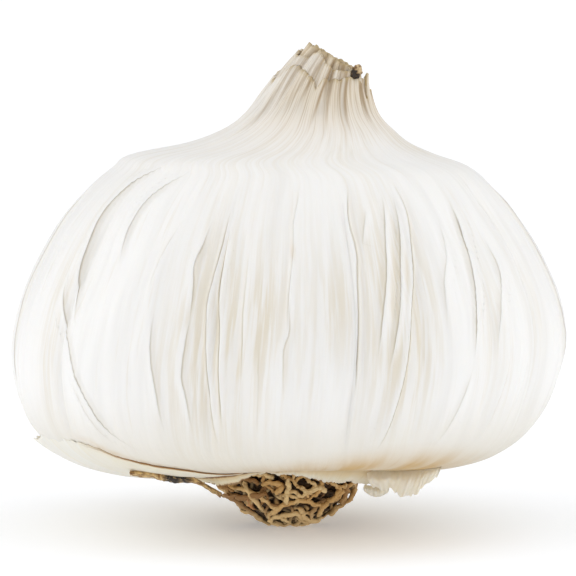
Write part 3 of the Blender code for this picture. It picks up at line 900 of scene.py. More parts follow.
LEAF_VEINS = vein_group()
print("group", LEAF_VEINS.name, "has", len(LEAF_VEINS.nodes), "nodes")

# %% [markdown]
# ## A sharp edge for each fold
# A fold's dark line, a painted shadow at the foot of its drop, is under a fifth of a millimetre
# wide, which is finer than the mesh. So each vertex stores how far past the nearest fold it lies,
# and the material turns that distance into a thin painted shadow line, a soft painted shade beside
# it, a painted highlight along the pale ridge and a small step. A distance changes evenly between
# vertices, so the edge stays sharp. Folds that lie close together use other channels.

# %% Build the fold group
EDGE_MIDDLE = 0.12
EDGE_HALF = 0.14
SHADE_REACH = 1.1
STEP_WIDTH = 0.14


def fold_group():
    recipe, takes, gives = new_group(
        "fold_edge", (("Fold", "Vector"),), ("Line", "Shade", "Step", "Highlight")
    )
    links = recipe.tree.links
    split = new_node(recipe.tree, "ShaderNodeSeparateXYZ")
    links.new(takes["Fold"], split.inputs["Vector"])
    distance, dark, rise = split.outputs
    away = recipe.math("ABSOLUTE", recipe.math("SUBTRACT", distance, EDGE_MIDDLE))
    # The line: painted shadow just past the drop, as dark as the fold's darkness
    line = recipe.times(recipe.between(away, 0.03, EDGE_HALF, 1.0, 0.0), dark)
    # The shade: painted shade on the low side, just past the drop
    beyond = recipe.between(distance, 0.0, STEP_WIDTH)
    shade = recipe.times(beyond, recipe.between(distance, 0.1, SHADE_REACH, 1.0, 0.0))
    slow = recipe.between(distance, -0.9, 0.0)
    step = recipe.times(slow, recipe.between(distance, 0.0, STEP_WIDTH, 1.0, 0.0))
    up_to_fold = recipe.between(distance, -0.02, 0.08, 1.0, 0.0)
    # The ridge: a painted highlight on the crest of the slow side, up to the fold
    crest_highlight = recipe.times(recipe.between(distance, -0.95, -0.20), up_to_fold)
    links.new(recipe.times(crest_highlight, recipe.between(rise, 0.02, 0.22)), gives["Highlight"])
    links.new(line, gives["Line"])
    links.new(recipe.times(shade, dark), gives["Shade"])
    links.new(recipe.times(step, rise), gives["Step"])
    return recipe.tree


FOLD_EDGE = fold_group()
print("group", FOLD_EDGE.name, "has", len(FOLD_EDGE.nodes), "nodes")

# %% [markdown]
# ## Short words for a material
# A finish is a stack of colours, each blended over the last one by a mask. The class below gives
# each such move a short name, so that a finish reads like a list of what a painter did. The last
# move joins colour, roughness and a fine bump to the shader.

# %% Helpers for the materials
class Finish(Recipe):
    """A material in the making."""

    def __init__(self, name):
        self.material = bpy.data.materials.new(name)
        self.material.use_nodes = True
        super().__init__(self.material.node_tree)
        self.shader = self.tree.nodes["Principled BSDF"]

    def veins(self, pitch, length):
        node = new_node(self.tree, "ShaderNodeGroup", node_tree=LEAF_VEINS)
        node.inputs["Pitch"].default_value = pitch
        node.inputs["Length"].default_value = length
        self.tree.links.new(self.vector("leaf_place"), node.inputs["Place"])
        return node.outputs["Veins"]

    def folds(self):
        """The painted shadow line, the painted shade, the step and the painted ridge highlight of all the
        folds.
        """
        found = [0.0, 0.0, 0.0, 0.0]
        for number in range(FOLD_CHANNELS):
            node = new_node(self.tree, "ShaderNodeGroup", node_tree=FOLD_EDGE)
            self.tree.links.new(self.vector(f"fold_{number}"), node.inputs["Fold"])
            ways = zip(("MAXIMUM", "MAXIMUM", "ADD", "MAXIMUM"), found, node.outputs)
            found = [self.math(way, so_far, output) for way, so_far, output in ways]
        return found

    def noise(self, scale, detail=3.0):
        """Noise on the object's own coordinates, in metres."""
        place = new_node(self.tree, "ShaderNodeTexCoord").outputs["Object"]
        node = new_node(self.tree, "ShaderNodeTexNoise")
        node.inputs["Scale"].default_value = scale
        node.inputs["Detail"].default_value = detail
        self.tree.links.new(place, node.inputs["Vector"])
        return node.outputs["Fac"]

    def soften(self, weight, scale):
        """Lets some light in under the surface, warmer where it comes out further away."""
        self.shader.inputs["Subsurface Weight"].default_value = weight
        self.shader.inputs["Subsurface Radius"].default_value = (1.0, 0.85, 0.65)
        self.shader.inputs["Subsurface Scale"].default_value = scale * MM

    def finish(self, colour, roughness, relief, strength, distance):
        """Joins colour, roughness and bump to the shader."""
        bump = new_node(self.tree, "ShaderNodeBump")
        bump.inputs["Strength"].default_value = strength
        bump.inputs["Distance"].default_value = distance * MM
        self.tree.links.new(relief, bump.inputs["Height"])
        self.tree.links.new(bump.outputs["Normal"], self.shader.inputs["Normal"])
        self.tree.links.new(colour, self.shader.inputs["Base Color"])
        self.tree.links.new(roughness, self.shader.inputs["Roughness"])
        return self.material


def wear(obj, material, slot, *nodes):
    """Gives a piece its finish, ties it to the bulb and hides the solids that it stands for."""
    obj.data.materials.clear()
    obj.data.materials.append(material)
    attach(obj, "root")
    if nodes:
        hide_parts(*nodes)
    print(obj.name, "has", sum(len(face.vertices) - 2 for face in obj.data.polygons), "triangles")


print("a finish is built in short words:", [word for word in dir(Recipe) if not word.startswith("_")])

# %% [markdown]
# ## The finish of the skin
# Garlic skin is near white and a little see-through, with a satin shine. Beige shows where it is
# dry, along the veins and above all in the neck, and is painted into the folds as shade beside each
# drop, with a painted highlight along each ridge; towards the underside a cream tint is partly
# painted shade. The colour is built up in layers, each one laid on by a mask, as a painter would glaze.

# %% Paint the skin
SKIN_WHITE_AND_HIGHLIGHT = (0.890, 0.882, 0.865)
SKIN_GREY = (0.815, 0.805, 0.785)
DRY_BEIGE_AND_SHADE = (0.755, 0.695, 0.580)
FOLD_SHADOW_LINE = (0.520, 0.455, 0.335)
UNDERSIDE_CREAM_AND_SHADE = (0.735, 0.695, 0.600)
NECK_BEIGE = (0.720, 0.615, 0.465)
NECK_LINE_AND_CREASE_SHADE = (0.360, 0.240, 0.120)
FOOT_TAN_AND_GAP_SHADE = (0.590, 0.395, 0.160)
TORN_OLIVE = (0.520, 0.400, 0.210)


def skin_finish():
    skin = Finish("papery_skin")
    fine, wide = skin.veins(46.0, 9.0), skin.veins(13.0, 4.0)
    line, shade, step, ridge_highlight = skin.folds()
    colour = skin.blend(skin.between(wide, 0.42, 0.70, 0.0, 0.6), SKIN_WHITE_AND_HIGHLIGHT, SKIN_GREY)
    streaks = skin.between(fine, 0.38, 0.60, 0.20, 1.0)
    colour = skin.blend(skin.times(skin.mask("dry"), streaks), colour, DRY_BEIGE_AND_SHADE)
    colour = skin.blend(skin.between(fine, 0.58, 0.78, 0.0, 0.35), colour, DRY_BEIGE_AND_SHADE)
    # Painted shade, in dry beige, on the low side of each fold's drop
    colour = skin.blend(skin.times(shade, 0.35), colour, DRY_BEIGE_AND_SHADE)
    # Painted highlight in white along the crest of each fold
    colour = skin.blend(skin.times(ridge_highlight, 0.75), colour, SKIN_WHITE_AND_HIGHLIGHT)
    # Cream towards the underside: partly its own tint, partly painted shade where less light comes from
    # below
    colour = skin.blend(skin.mask("base"), colour, UNDERSIDE_CREAM_AND_SHADE)
    neck = skin.times(skin.mask("neck"), skin.between(fine, 0.3, 0.7, 0.7, 1.0))
    colour = skin.blend(neck, colour, NECK_BEIGE)
    # Painted shadow line at the foot of each fold's drop, broken up by the veins
    broken_shadow_line = skin.times(line, skin.between(wide, 0.40, 0.58, 0.25, 0.75))
    colour = skin.blend(broken_shadow_line, colour, FOLD_SHADOW_LINE)
    # Painted shade in the creases of the neck's wrinkles, then the neck's own thin lines along the veins
    neck_crease_shade = skin.times(skin.mask("crease"), skin.mask("neck"))
    colour = skin.blend(skin.times(neck_crease_shade, 0.9), colour, NECK_LINE_AND_CREASE_SHADE)
    thin_lines = skin.times(skin.between(fine, 0.50, 0.66, 0.0, 0.45), skin.mask("neck"))
    colour = skin.blend(thin_lines, colour, NECK_LINE_AND_CREASE_SHADE)
    # Tan at the foot, with painted shade in tan along the left flap's edge
    foot = skin.times(skin.mask("foot"), skin.between(wide, 0.3, 0.6, 0.5, 1.0))
    colour = skin.blend(foot, colour, FOOT_TAN_AND_GAP_SHADE)
    torn = skin.times(skin.mask("torn"), skin.between(fine, 0.35, 0.6))
    colour = skin.blend(torn, colour, TORN_OLIVE)
    skin.soften(0.12, 1.2)
    grain = skin.plus(skin.veins(120.0, 14.0), skin.times(skin.noise(900.0), 0.5))
    relief = skin.plus(skin.times(grain, 0.36), skin.times(step, 4.0))
    return skin.finish(colour, skin.between(wide, 0.3, 0.7, 0.38, 0.55), relief, 1.0, 0.10)


PAPERY_SKIN = skin_finish()
wrapper_skin.data.shade_smooth()
wear(wrapper_skin, PAPERY_SKIN, "skin", "bulb")

# %% [markdown]
# ## The cut leaves in the neck
# Inside the outermost leaf stand the ends of the inner ones, one within the other. Each is a thin
# tube that follows the neck. A flat grid is the quickest start: its columns are wrapped round the
# neck, its two sides are merged, and Solidify gives it the thickness of a leaf.

# %% Wrap a grid round the neck
NECK_COLUMNS = 240
NECK_ROWS = 30


def grid_sheet(name, columns, rows):
    """A flat grid with this many vertices each way; returns it with each vertex's u and v."""
    bpy.ops.object.select_all(action="DESELECT")
    bpy.ops.mesh.primitive_grid_add(x_subdivisions=columns - 1, y_subdivisions=rows - 1, size=2 * MM)
    obj = bpy.context.object
    obj.name = obj.data.name = name
    points = read_points(obj)
    u = np.clip(np.round((points[:, 0] + 1) / 2 * (columns - 1)) / (columns - 1), 0, 1)
    v = np.clip(np.round((points[:, 1] + 1) / 2 * (rows - 1)) / (rows - 1), 0, 1)
    return obj, u, v


def close_seam():
    """Merges the two sides of the sheet that was just wrapped round."""
    bpy.ops.object.mode_set(mode="EDIT")
    bpy.ops.mesh.select_all(action="SELECT")
    bpy.ops.mesh.remove_doubles(threshold=0.000001)
    bpy.ops.mesh.normals_make_consistent(inside=False)
    bpy.ops.object.mode_set(mode="OBJECT")


def thicken(obj, thickness):
    """Gives a sheet its thickness, half to each side."""
    solid = obj.modifiers.new("thickness", "SOLIDIFY")
    solid.thickness = thickness * MM
    solid.offset = 0.0
    bpy.context.view_layer.objects.active = obj
    bpy.ops.object.modifier_apply(modifier=solid.name)
    obj.data.shade_smooth()


def neck_leaf(name, layer, inset, deep, rim_of, thickness):
    """One leaf in the neck, from deep below its rim up to rim_of(angle)."""
    obj, u, v = grid_sheet(name, NECK_COLUMNS + 1, NECK_ROWS)
    angle = math.tau * np.where(u > 1 - 1e-6, 0.0, u)
    rim = np.interp(angle, NECK_TURNS, rim_of(NECK_TURNS))
    height = np.maximum(rim - deep * (1 - v), LOWEST_LEAF)
    step = step_at_height(height)
    half = outline_at(step)[1] - inset
    relief, dark = wrinkle_relief(angle + 0.013 * layer, height, np.maximum(half, 1.0))
    crinkle = 0.05 * noise_round(angle, height, 6.0, 3.0, 31.0 * layer)
    uneven = noise_round(angle, height, 1.6, 9.0, 5.0 * layer)
    lean_out = 0.14 * layer * smooth_between(0.75, 1.0, v) * uneven
    points = wrapper(angle, step, inset)
    points += outward(angle, step, inset) * (relief * 0.9 + crinkle + lean_out)[:, None]
    write_points(obj, points)
    store(obj, "crease", dark)
    store(obj, "torn", 1 - smooth_between(0.0, 0.35, rim - height))
    store(obj, "neck", np.full(len(u), 0.9) * (1 - 0.25 * (np.cos(angle) < -0.2)))
    store_vectors(obj, "leaf_place", leaf_places(angle + 0.7 * layer, step))
    close_seam()
    thicken(obj, thickness)
    return obj


NECK_TURNS = math.tau * np.arange(NECK_COLUMNS + 1) / NECK_COLUMNS
print("leaf grid:", NECK_COLUMNS, "columns")

# %% Paint and place the neck's leaves
LEAF_BEIGE = (0.790, 0.705, 0.560)
LEAF_SHADE = (0.680, 0.565, 0.405)
LEAF_LINE_AND_CREASE_SHADE = (0.340, 0.230, 0.120)


def sheath_finish():
    leaf = Finish("dry_sheath")
    fine, wide = leaf.veins(60.0, 12.0), leaf.veins(16.0, 6.0)
    colour = leaf.blend(leaf.between(wide, 0.35, 0.65), LEAF_BEIGE, LEAF_SHADE)
    # Painted shade in the creases of the wrinkles, then thin lines along the veins
    colour = leaf.blend(leaf.times(leaf.mask("crease"), 0.8), colour, LEAF_LINE_AND_CREASE_SHADE)
    colour = leaf.blend(leaf.between(fine, 0.52, 0.72, 0.0, 0.5), colour, LEAF_LINE_AND_CREASE_SHADE)
    torn = leaf.times(leaf.mask("torn"), leaf.between(fine, 0.3, 0.55))
    colour = leaf.blend(torn, colour, TORN_OLIVE)
    return leaf.finish(colour, leaf.between(fine, 0.3, 0.7, 0.55, 0.75), fine, 0.5, 0.15)


# Drop of the second leaf's rim below the cut, by degrees round from the viewer's side
SECOND_DROP = (
    (-180, 0.6), (-60, 1.6), (-42, 1.4), (-30, 0.6), (-20, 0.4), (-8, 0.8), (7, 1.2), (20, 1.2),
    (35, 0.8), (60, 0.5), (90, 0.9), (180, 0.6),
)


def second_rim(angle):
    drop = by_degrees(SECOND_DROP, degrees_from_viewer(angle))
    return cut_height(angle, 0.4) - drop + ragged(angle, 2, 0.20)


def third_rim(angle):
    return cut_height(angle, 1.2) - 0.15 + ragged(angle, 3, 0.15)


def fourth_rim(angle):
    return cut_height(angle, 2.1) - 0.05 + ragged(angle, 4, 0.18)


def innermost_rim(angle):
    return cut_height(angle, 3.0) - 0.4 + ragged(angle, 5, 0.22)


DRY_SHEATH = sheath_finish()
NECK_LEAVES = (
    ("second_leaf", 1, 0.42, 9.0, second_rim, 0.22),
    ("third_leaf", 2, 1.15, 6.0, third_rim, 0.30),
    ("fourth_leaf", 3, 2.05, 6.0, fourth_rim, 0.36),
    ("innermost_leaf", 4, 3.0, 5.0, innermost_rim, 0.40),
)
for name, layer, inset, deep, rim_of, thickness in NECK_LEAVES:
    leaf = neck_leaf(name, layer, inset, deep, rim_of, thickness)
    if layer == 1:
        wear(leaf, PAPERY_SKIN, "sheath", "neck_sheaths")
    else:
        wear(leaf, DRY_SHEATH, "sheath")

# %% [markdown]
# ## A knob and a dark hollow
# On the right of the cut a dried end sticks out as a small brown knob, with a dark hollow under
# it. The hollow's shadow is painted on a near-black lump set there. Each is an icosphere, stretched
# and roughened with noise, because nothing more of its shape can be seen.

# %% Add the brown knob beside the cut
KNOB_PLACE = (8.0, -3.4, 53.6)
KNOB_SIZE = (0.62, 0.60, 0.55)
HOLLOW_PLACE = (7.65, -3.7, 53.1)
HOLLOW_SIZE = (0.66, 0.45, 0.52)
KNOB_DARK, KNOB_LIGHT = (0.20, 0.11, 0.045), (0.62, 0.46, 0.26)
HOLLOW_SHADOW_DARK, HOLLOW_SHADOW_LIGHT = (0.025, 0.014, 0.008), (0.140, 0.080, 0.035)


def rough_lump(name, place, size, seed):
    """A small lump for a dried scrap, or for the painted shadow in a hollow: an icosphere, stretched, moved
    and roughened.
    """
    bpy.ops.object.select_all(action="DESELECT")
    bpy.ops.mesh.primitive_ico_sphere_add(subdivisions=4, radius=MM)
    lump = bpy.context.object
    lump.name = lump.data.name = name
    points = read_points(lump)
    rough = [1 + 0.5 * noise.noise(Vector(p) * 1.7 + Vector((seed, 0, 0))) for p in points]
    write_points(lump, points * np.array(rough)[:, None] * size + place)
    lump.data.shade_smooth()
    return lump


def knob_finish(name, dark, light):
    knob = Finish(name)
    mottle = knob.noise(1500.0, 4.0)
    colour = knob.blend(knob.between(mottle, 0.4, 0.65), dark, light)
    return knob.finish(colour, knob.between(mottle, 0.3, 0.7, 0.6, 0.8), mottle, 0.8, 0.3)


knob = rough_lump("neck_knob", KNOB_PLACE, KNOB_SIZE, 3.0)
wear(knob, knob_finish("brown_knob", KNOB_DARK, KNOB_LIGHT), "sheath")
# Painted shadow: a near-black lump where the hollow under the knob lies in shade
hollow_shadow = rough_lump("neck_hollow_shadow", HOLLOW_PLACE, HOLLOW_SIZE, 6.0)
wear(hollow_shadow, knob_finish("hollow_shadow_finish", HOLLOW_SHADOW_DARK, HOLLOW_SHADOW_LIGHT), "sheath")

# %% [markdown]
# ## The roots
# Below the root plate the dried roots form a shallow bowl of curled strands. A strand is drawn as
# a smooth curve that wanders over the bowl and dips in and out of it, with a round bevel. The
# strands are drawn by rule with a seeded draw, apart from two dozen that the viewer sees clearly.
# A dark matted middle behind them keeps light from showing through.

# %% Shape the bowl of roots
TUFT_TOP = 4.5
TUFT_RIM = 8.3
TUFT_FLAT = 3.0
TUFT_CURVE = 0.7


def bowl_point(turn, drop, lift):
    """drop is -0.75 under the skin, 0 at the bowl's rim, 1 at its flat spot and 2 at the middle."""
    away = Vector((math.cos(turn), math.sin(turn), 0.0))
    if drop < 0:
        return away * (TUFT_RIM + 0.8 * drop + lift) + Vector((0.0, 0.0, TUFT_TOP * (1 - drop)))
    if drop > 1:
        return away * TUFT_FLAT * (2 - drop) + Vector((0.0, 0.0, -lift))
    share = 1 - drop
    radius = TUFT_FLAT + (TUFT_RIM - TUFT_FLAT) * share**TUFT_CURVE
    facing = (away * (0.4 + 0.6 * share) + Vector((0.0, 0.0, -0.8 * drop - 0.2))).normalized()
    return away * radius + Vector((0.0, 0.0, TUFT_TOP * share)) + facing * lift


CORE_DEPTH = 1.5
CORE_RINGS = 14
CORE_COLUMNS = 72


def root_core():
    """The dark matted middle, turned like the wrapper and roughened with noise."""
    profile = [(0.0, CORE_DEPTH)]
    for ring in range(1, CORE_RINGS):
        point = bowl_point(0.0, 1.7 * (1 - ring / CORE_RINGS), -CORE_DEPTH)
        profile.append((point.x, point.z))
    profile += [(7.4, 5.2), (7.6, 6.0), (5.6, 6.6), (0.0, 6.7)]
    core = draw_profile("root_core", profile)
    spin_profile(CORE_COLUMNS)
    points = read_points(core)
    for index, point in enumerate(points):
        rough = noise.noise(Vector(point) * 1.1)
        points[index] = point * (1 + 0.05 * rough, 1 + 0.05 * rough, 1.0)
    write_points(core, points)
    core.data.shade_smooth()
    return core


core = root_core()
print("core has", len(core.data.polygons), "faces")

# %% Draw the strands
STRAND_COUNT = 340
STRAND_SEED = 21
STRAND_POINTS = 15
STRAND_STEP = 0.62
STRAND_GIRTHS = (0.15, 0.30)
HIGHEST_DROP = -0.75
LOWEST_DROP = 1.75
KINK = 0.16
TONES = 8
BOLD_STRANDS = 13
BOLD_GIRTHS = (0.26, 0.33)
THIN_GIRTHS = (0.18, 0.25)
# Strands that the viewer sees clearly, as points in millimetres
CLEAR_STRANDS = (
    ((-2.1, -5.7, 2.1), (-0.7, -7.0, 3.0), (1.4, -7.6, 3.8), (3.0, -6.7, 3.4), (4.5, -4.7, 2.5)),
    ((0.0, -8.5, 6.5), (0.1, -8.5, 5.4), (-0.2, -8.5, 4.5), (-0.2, -7.4, 3.4)),
    ((1.1, -6.6, 2.7), (1.8, -5.9, 2.1), (2.0, -4.8, 1.3), (3.0, -3.5, 0.8), (4.1, -2.7, 1.1)),
    ((-6.5, -5.1, 5.1), (-4.9, -6.7, 5.0), (-3.0, -7.5, 4.2), (-2.1, -6.9, 3.2), (-0.6, -6.8, 2.9)),
    ((-7.8, -1.0, 3.6), (-6.1, -4.1, 3.4), (-4.5, -4.2, 2.0), (-3.0, -4.0, 1.1)),
    ((6.0, -5.9, 5.3), (5.4, -6.0, 4.0), (4.0, -5.7, 2.9), (3.5, -4.2, 1.5)),
    ((-5.1, -6.7, 6.0), (-4.5, -7.2, 4.8), (-3.7, -6.5, 3.5), (-3.0, -5.7, 2.5)),
    ((6.7, -5.2, 5.2), (6.9, -4.1, 4.1), (6.2, -3.1, 2.9)),
    ((-3.0, -7.9, 5.8), (-1.9, -8.3, 6.1), (-0.7, -8.5, 5.6), (-1.4, -8.4, 4.8)),
    ((1.4, -8.3, 5.6), (2.3, -8.1, 4.9), (3.5, -7.6, 5.3), (4.4, -7.1, 4.8)),
    ((7.9, -2.9, 4.6), (7.2, -2.6, 3.4), (5.9, -2.6, 2.3), (4.7, -2.5, 1.4)),
    ((-2.3, -4.5, 1.1), (-0.9, -5.6, 1.7), (0.9, -6.0, 2.0), (1.9, -4.6, 1.1)),
    ((-7.0, -3.9, 4.0), (-5.4, -6.0, 4.0), (-3.9, -7.3, 4.4), (-2.5, -8.0, 4.9)),
    ((-1.2, -8.1, 7.4), (-0.3, -8.3, 6.6), (0.9, -8.4, 6.3), (1.8, -8.2, 6.9)),
    ((1.2, -8.0, 7.3), (2.2, -8.2, 6.4), (2.9, -8.1, 5.9), (3.2, -7.6, 5.0)),
    ((2.8, -7.8, 7.0), (3.8, -7.7, 6.2), (4.9, -7.2, 6.0), (5.8, -6.6, 6.6)),
    ((4.6, -7.0, 6.9), (5.1, -7.0, 5.9), (5.8, -6.5, 5.2), (6.8, -5.4, 5.4)),
    ((-4.6, -7.2, 7.2), (-3.6, -7.8, 6.8), (-2.6, -8.0, 7.0), (-1.6, -8.2, 6.5)),
    ((-2.2, -8.0, 7.5), (-2.9, -8.0, 6.4), (-2.2, -8.2, 5.6), (-1.4, -7.9, 4.9)),
    ((0.4, -8.3, 7.2), (0.9, -8.4, 5.9), (1.8, -8.2, 5.2), (2.4, -7.7, 4.3)),
    ((-6.2, -6.0, 6.8), (-5.4, -6.7, 6.2), (-4.3, -7.4, 6.3), (-3.4, -7.8, 5.8)),
    ((3.4, -7.6, 6.7), (3.9, -7.4, 5.6), (3.2, -7.5, 4.6), (2.2, -7.4, 3.9)),
    ((-0.9, -8.3, 4.4), (0.4, -8.2, 4.9), (1.5, -8.0, 4.4), (2.8, -7.6, 4.8)),
    ((-8.9, -7.4, 6.5), (-8.1, -6.9, 5.7), (-7.3, -6.2, 5.1), (-6.3, -5.8, 4.7)),
    ((-8.3, -6.8, 6.8), (-7.8, -6.2, 6.0), (-7.0, -6.1, 5.6), (-6.0, -6.2, 5.0)),
)


def wandering_strand(draw, number):
    """The path of one strand: it starts under the skin or on the bowl and wanders over it."""
    layer = number / STRAND_COUNT
    lift = -1.5 + 1.35 * layer
    turn = draw.uniform(0.0, math.tau)
    drop = draw.choice((draw.uniform(HIGHEST_DROP, 0.1), draw.uniform(0.0, 1.4)))
    heading = draw.uniform(-math.pi, math.pi)
    bend = draw.uniform(-0.3, 0.3)
    path = []
    for index in range(draw.randint(STRAND_POINTS - 6, STRAND_POINTS)):
        wave = 0.35 * math.sin(index * 1.1 + number) * draw.uniform(0.4, 1.0)
        sunk = -0.7 if index < 1 else 0.0
        path.append(bowl_point(turn, drop, min(lift + wave + sunk, 0.0)))
        radius = max(math.hypot(path[-1].x, path[-1].y), 1.2)
        turn += STRAND_STEP * math.sin(heading) / radius
        drop += 0.8 * STRAND_STEP * math.cos(heading) / TUFT_TOP
        if not HIGHEST_DROP < drop < LOWEST_DROP:
            drop = min(max(drop, HIGHEST_DROP), LOWEST_DROP)
            heading = math.pi - heading
        heading += bend + draw.choice((draw.uniform(-0.3, 0.3), draw.uniform(-1.1, 1.1)))
    return path


def clear_strand(draw, places):
    """A strand that the viewer sees, read closely along its points, with small kinks."""
    steps = np.linspace(0.0, len(places) - 1.0, 4 * len(places))
    kinks = [Vector([draw.uniform(-KINK, KINK) for _ in range(3)]) for _ in steps]
    return [Vector(point) + kink for point, kink in zip(smooth_through(places, steps), kinks)]


def strand_group(name, draw, strands, tone):
    """Strands of one tone as a bevelled curve, turned into a mesh with its tone stored."""
    bpy.ops.object.select_all(action="DESELECT")
    bpy.ops.curve.primitive_nurbs_path_add(location=(0.0, 0.0, 0.0))
    obj = bpy.context.object
    obj.name = name
    curve = obj.data
    curve.splines.clear()
    curve.bevel_depth = MM
    curve.bevel_resolution = 2
    curve.use_fill_caps = True
    for path, girth in strands:
        line = curve.splines.new("NURBS")
        line.points.add(len(path) - 1)
        line.order_u = 3
        line.resolution_u = 2
        line.use_endpoint_u = True
        for index, (place, point) in enumerate(zip(path, line.points)):
            lowest = max(place.z, 1.15 * girth)
            point.co = (place.x * MM, place.y * MM, lowest * MM, 1.0)
            taper = 0.5 if index in (0, len(path) - 1) else 1.0
            point.radius = girth * draw.uniform(0.75, 1.2) * taper
    bpy.ops.object.convert(target="MESH")
    store(obj, "tone", np.full(len(obj.data.vertices), tone))
    return obj


def depth_in_bowl(points):
    """How deep each point lies under the bowl's surface, from 0 to 1."""
    share = np.clip(points[:, 2] / TUFT_TOP, 0.0, 1.0)
    radius = TUFT_FLAT + (TUFT_RIM - TUFT_FLAT) * share**TUFT_CURVE
    beside = radius - np.hypot(points[:, 0], points[:, 1])
    return np.clip(np.minimum(beside, points[:, 2] + 0.2) / 1.5, 0.0, 1.0)


def shrivelled(points):
    """Pushes the strands' surface about with noise, coarse and fine, but not through the table."""
    noise.seed_set(STRAND_SEED)
    rough = [noise.noise_vector(Vector(p) * 1.1) * 0.16 + noise.noise_vector(Vector(p) * 4.5) * 0.10
             for p in points]
    points = points + np.array(rough)
    points[:, 2] = np.maximum(points[:, 2], 0.03)
    return points


def all_strands():
    """Draws every strand, makes a mesh of each tone and joins them to one bunch."""
    draw = random.Random(STRAND_SEED)
    groups = [[] for _ in range(TONES)]
    for number in range(STRAND_COUNT):
        path = wandering_strand(draw, number)
        groups[number % TONES].append((path, draw.uniform(*STRAND_GIRTHS)))
    for number, places in enumerate(CLEAR_STRANDS):
        girth = draw.uniform(*(BOLD_GIRTHS if number < BOLD_STRANDS else THIN_GIRTHS))
        groups[(3 * number + 4) % TONES].append((clear_strand(draw, places), girth))
    made = [
        strand_group(f"strands_{tone}", draw, strands, tone / (TONES - 1))
        for tone, strands in enumerate(groups)
    ]
    bpy.ops.object.select_all(action="DESELECT")
    for obj in made:
        obj.select_set(True)
    bpy.context.view_layer.objects.active = made[0]
    bpy.ops.object.join()
    joined = made[0]
    joined.name = joined.data.name = "root_strands"
    points = read_points(joined)
    # How low and how deep each point lies: the finish paints light on the lowest strands and shade on the
    # deepest
    low = 1 - smooth_between(0.6, 3.6, points[:, 2])
    store(joined, "low", low)
    store(joined, "sunk", depth_in_bowl(points) * (1 - 0.45 * low))
    write_points(joined, shrivelled(points))
    joined.data.shade_smooth()
    return joined


strands = all_strands()
print("strands have", len(strands.data.polygons), "faces")

# %% [markdown]
# ## The finish of the roots
# Dried roots run from brown to straw. Each strand has a tone of its own, blended between three
# colours, with brown mottling and a few orange specks. The deeper a strand lies, the darker it
# is painted, as shade in the bowl, and the lowest ones, next to the table, are painted palest,
# as painted light.

# %% Paint the roots
ROOT_TAN = (0.660, 0.400, 0.145)
ROOT_BROWN = (0.320, 0.160, 0.050)
ROOT_PALE_AND_LIT = (0.860, 0.645, 0.330)
ROOT_SHADE_DARK = (0.050, 0.025, 0.010)
ROOT_ORANGE = (0.620, 0.230, 0.070)


def root_finish():
    root = Finish("dried_root")
    colour = root.blend(root.between(root.mask("tone"), 0.0, 0.5), ROOT_BROWN, ROOT_TAN)
    colour = root.blend(root.between(root.mask("tone"), 0.5, 1.0, 0.0, 0.9), colour, ROOT_PALE_AND_LIT)
    mottle = root.noise(1100.0, 5.0)
    colour = root.blend(root.between(mottle, 0.50, 0.72, 0.0, 0.6), colour, ROOT_BROWN)
    colour = root.blend(root.between(root.noise(420.0), 0.52, 0.75, 0.0, 0.6), colour, ROOT_PALE_AND_LIT)
    colour = root.blend(root.between(root.noise(330.0, 1.0), 0.74, 0.78, 0.0, 0.7), colour, ROOT_ORANGE)
    # Painted light: the lowest strands, next to the table, paler
    colour = root.blend(root.times(root.mask("low"), 0.6), colour, ROOT_PALE_AND_LIT)
    # Painted shade: the deeper a strand lies in the bowl, the darker
    colour = root.blend(root.between(root.mask("sunk"), 0.08, 0.50, 0.0, 0.97), colour, ROOT_SHADE_DARK)
    return root.finish(colour, root.between(mottle, 0.3, 0.7, 0.55, 0.8), mottle, 0.9, 0.22)


def core_finish():
    # Near black as painted shade deep between the strands, mottled with the brown of the matted middle
    core = Finish("matted_core_and_shade")
    mottle = core.noise(900.0, 6.0)
    colour = core.blend(core.between(mottle, 0.45, 0.8, 0.0, 0.6), ROOT_SHADE_DARK, ROOT_BROWN)
    return core.finish(colour, core.between(mottle, 0.3, 0.7, 0.75, 0.95), mottle, 0.8, 0.4)


wear(strands, root_finish(), "roots", "root_tuft")
wear(core, core_finish(), "roots")

# %% [markdown]
# ## Rags of old skin
# The outermost leaves have split and still hang on at the root plate. The large one at the left
# is a thin sheet that starts at the plate and follows the underside of the bulb, standing off it
# a little. It is a grid again, laid on the bulb's own surface by formula, with a ragged outer
# edge, and Solidify gives it its thickness.

# %% Lay a rag against the underside
EDGE_GAP = 0.10
FOOT_GAP = 0.35
FURTHEST_OUT = 30.6
SHEET = 0.12
LEFT_FOOT = 9.0


def underside_rag(name, span, size, foot, edge, bulge, torn):
    """A rag from the root plate out to its edge: a table of (degrees, half width where it ends)."""
    obj, u, v = grid_sheet(name, *size)
    degrees = span[0] + (span[1] - span[0]) * u
    angle = round_from_viewer(degrees)
    across = np.linspace(0, 1, size[0])
    uneven = ragged(round_from_viewer(span[0] + (span[1] - span[0]) * across) * 3, 5, torn)
    wanted = by_degrees(edge, degrees) + np.interp(u, across, uneven)
    wanted = np.maximum(wanted, foot + 0.8)
    round_foot = foot / np.hypot(np.cos(angle), np.sin(angle) * FLATTENING)
    start, end = step_at_radius(round_foot), step_at_radius(np.minimum(wanted, FURTHEST_OUT))
    step = start + (end - start) * v
    gap = EDGE_GAP + (FOOT_GAP - EDGE_GAP) * (1 - v) + bulge(degrees, v)
    write_points(obj, wrapper(angle, step) + outward(angle, step) * gap[:, None])
    store(obj, "out", v)
    store(obj, "edge", length_at(end) - length_at(step))
    store_vectors(obj, "leaf_place", leaf_places(angle, step))
    return obj, degrees


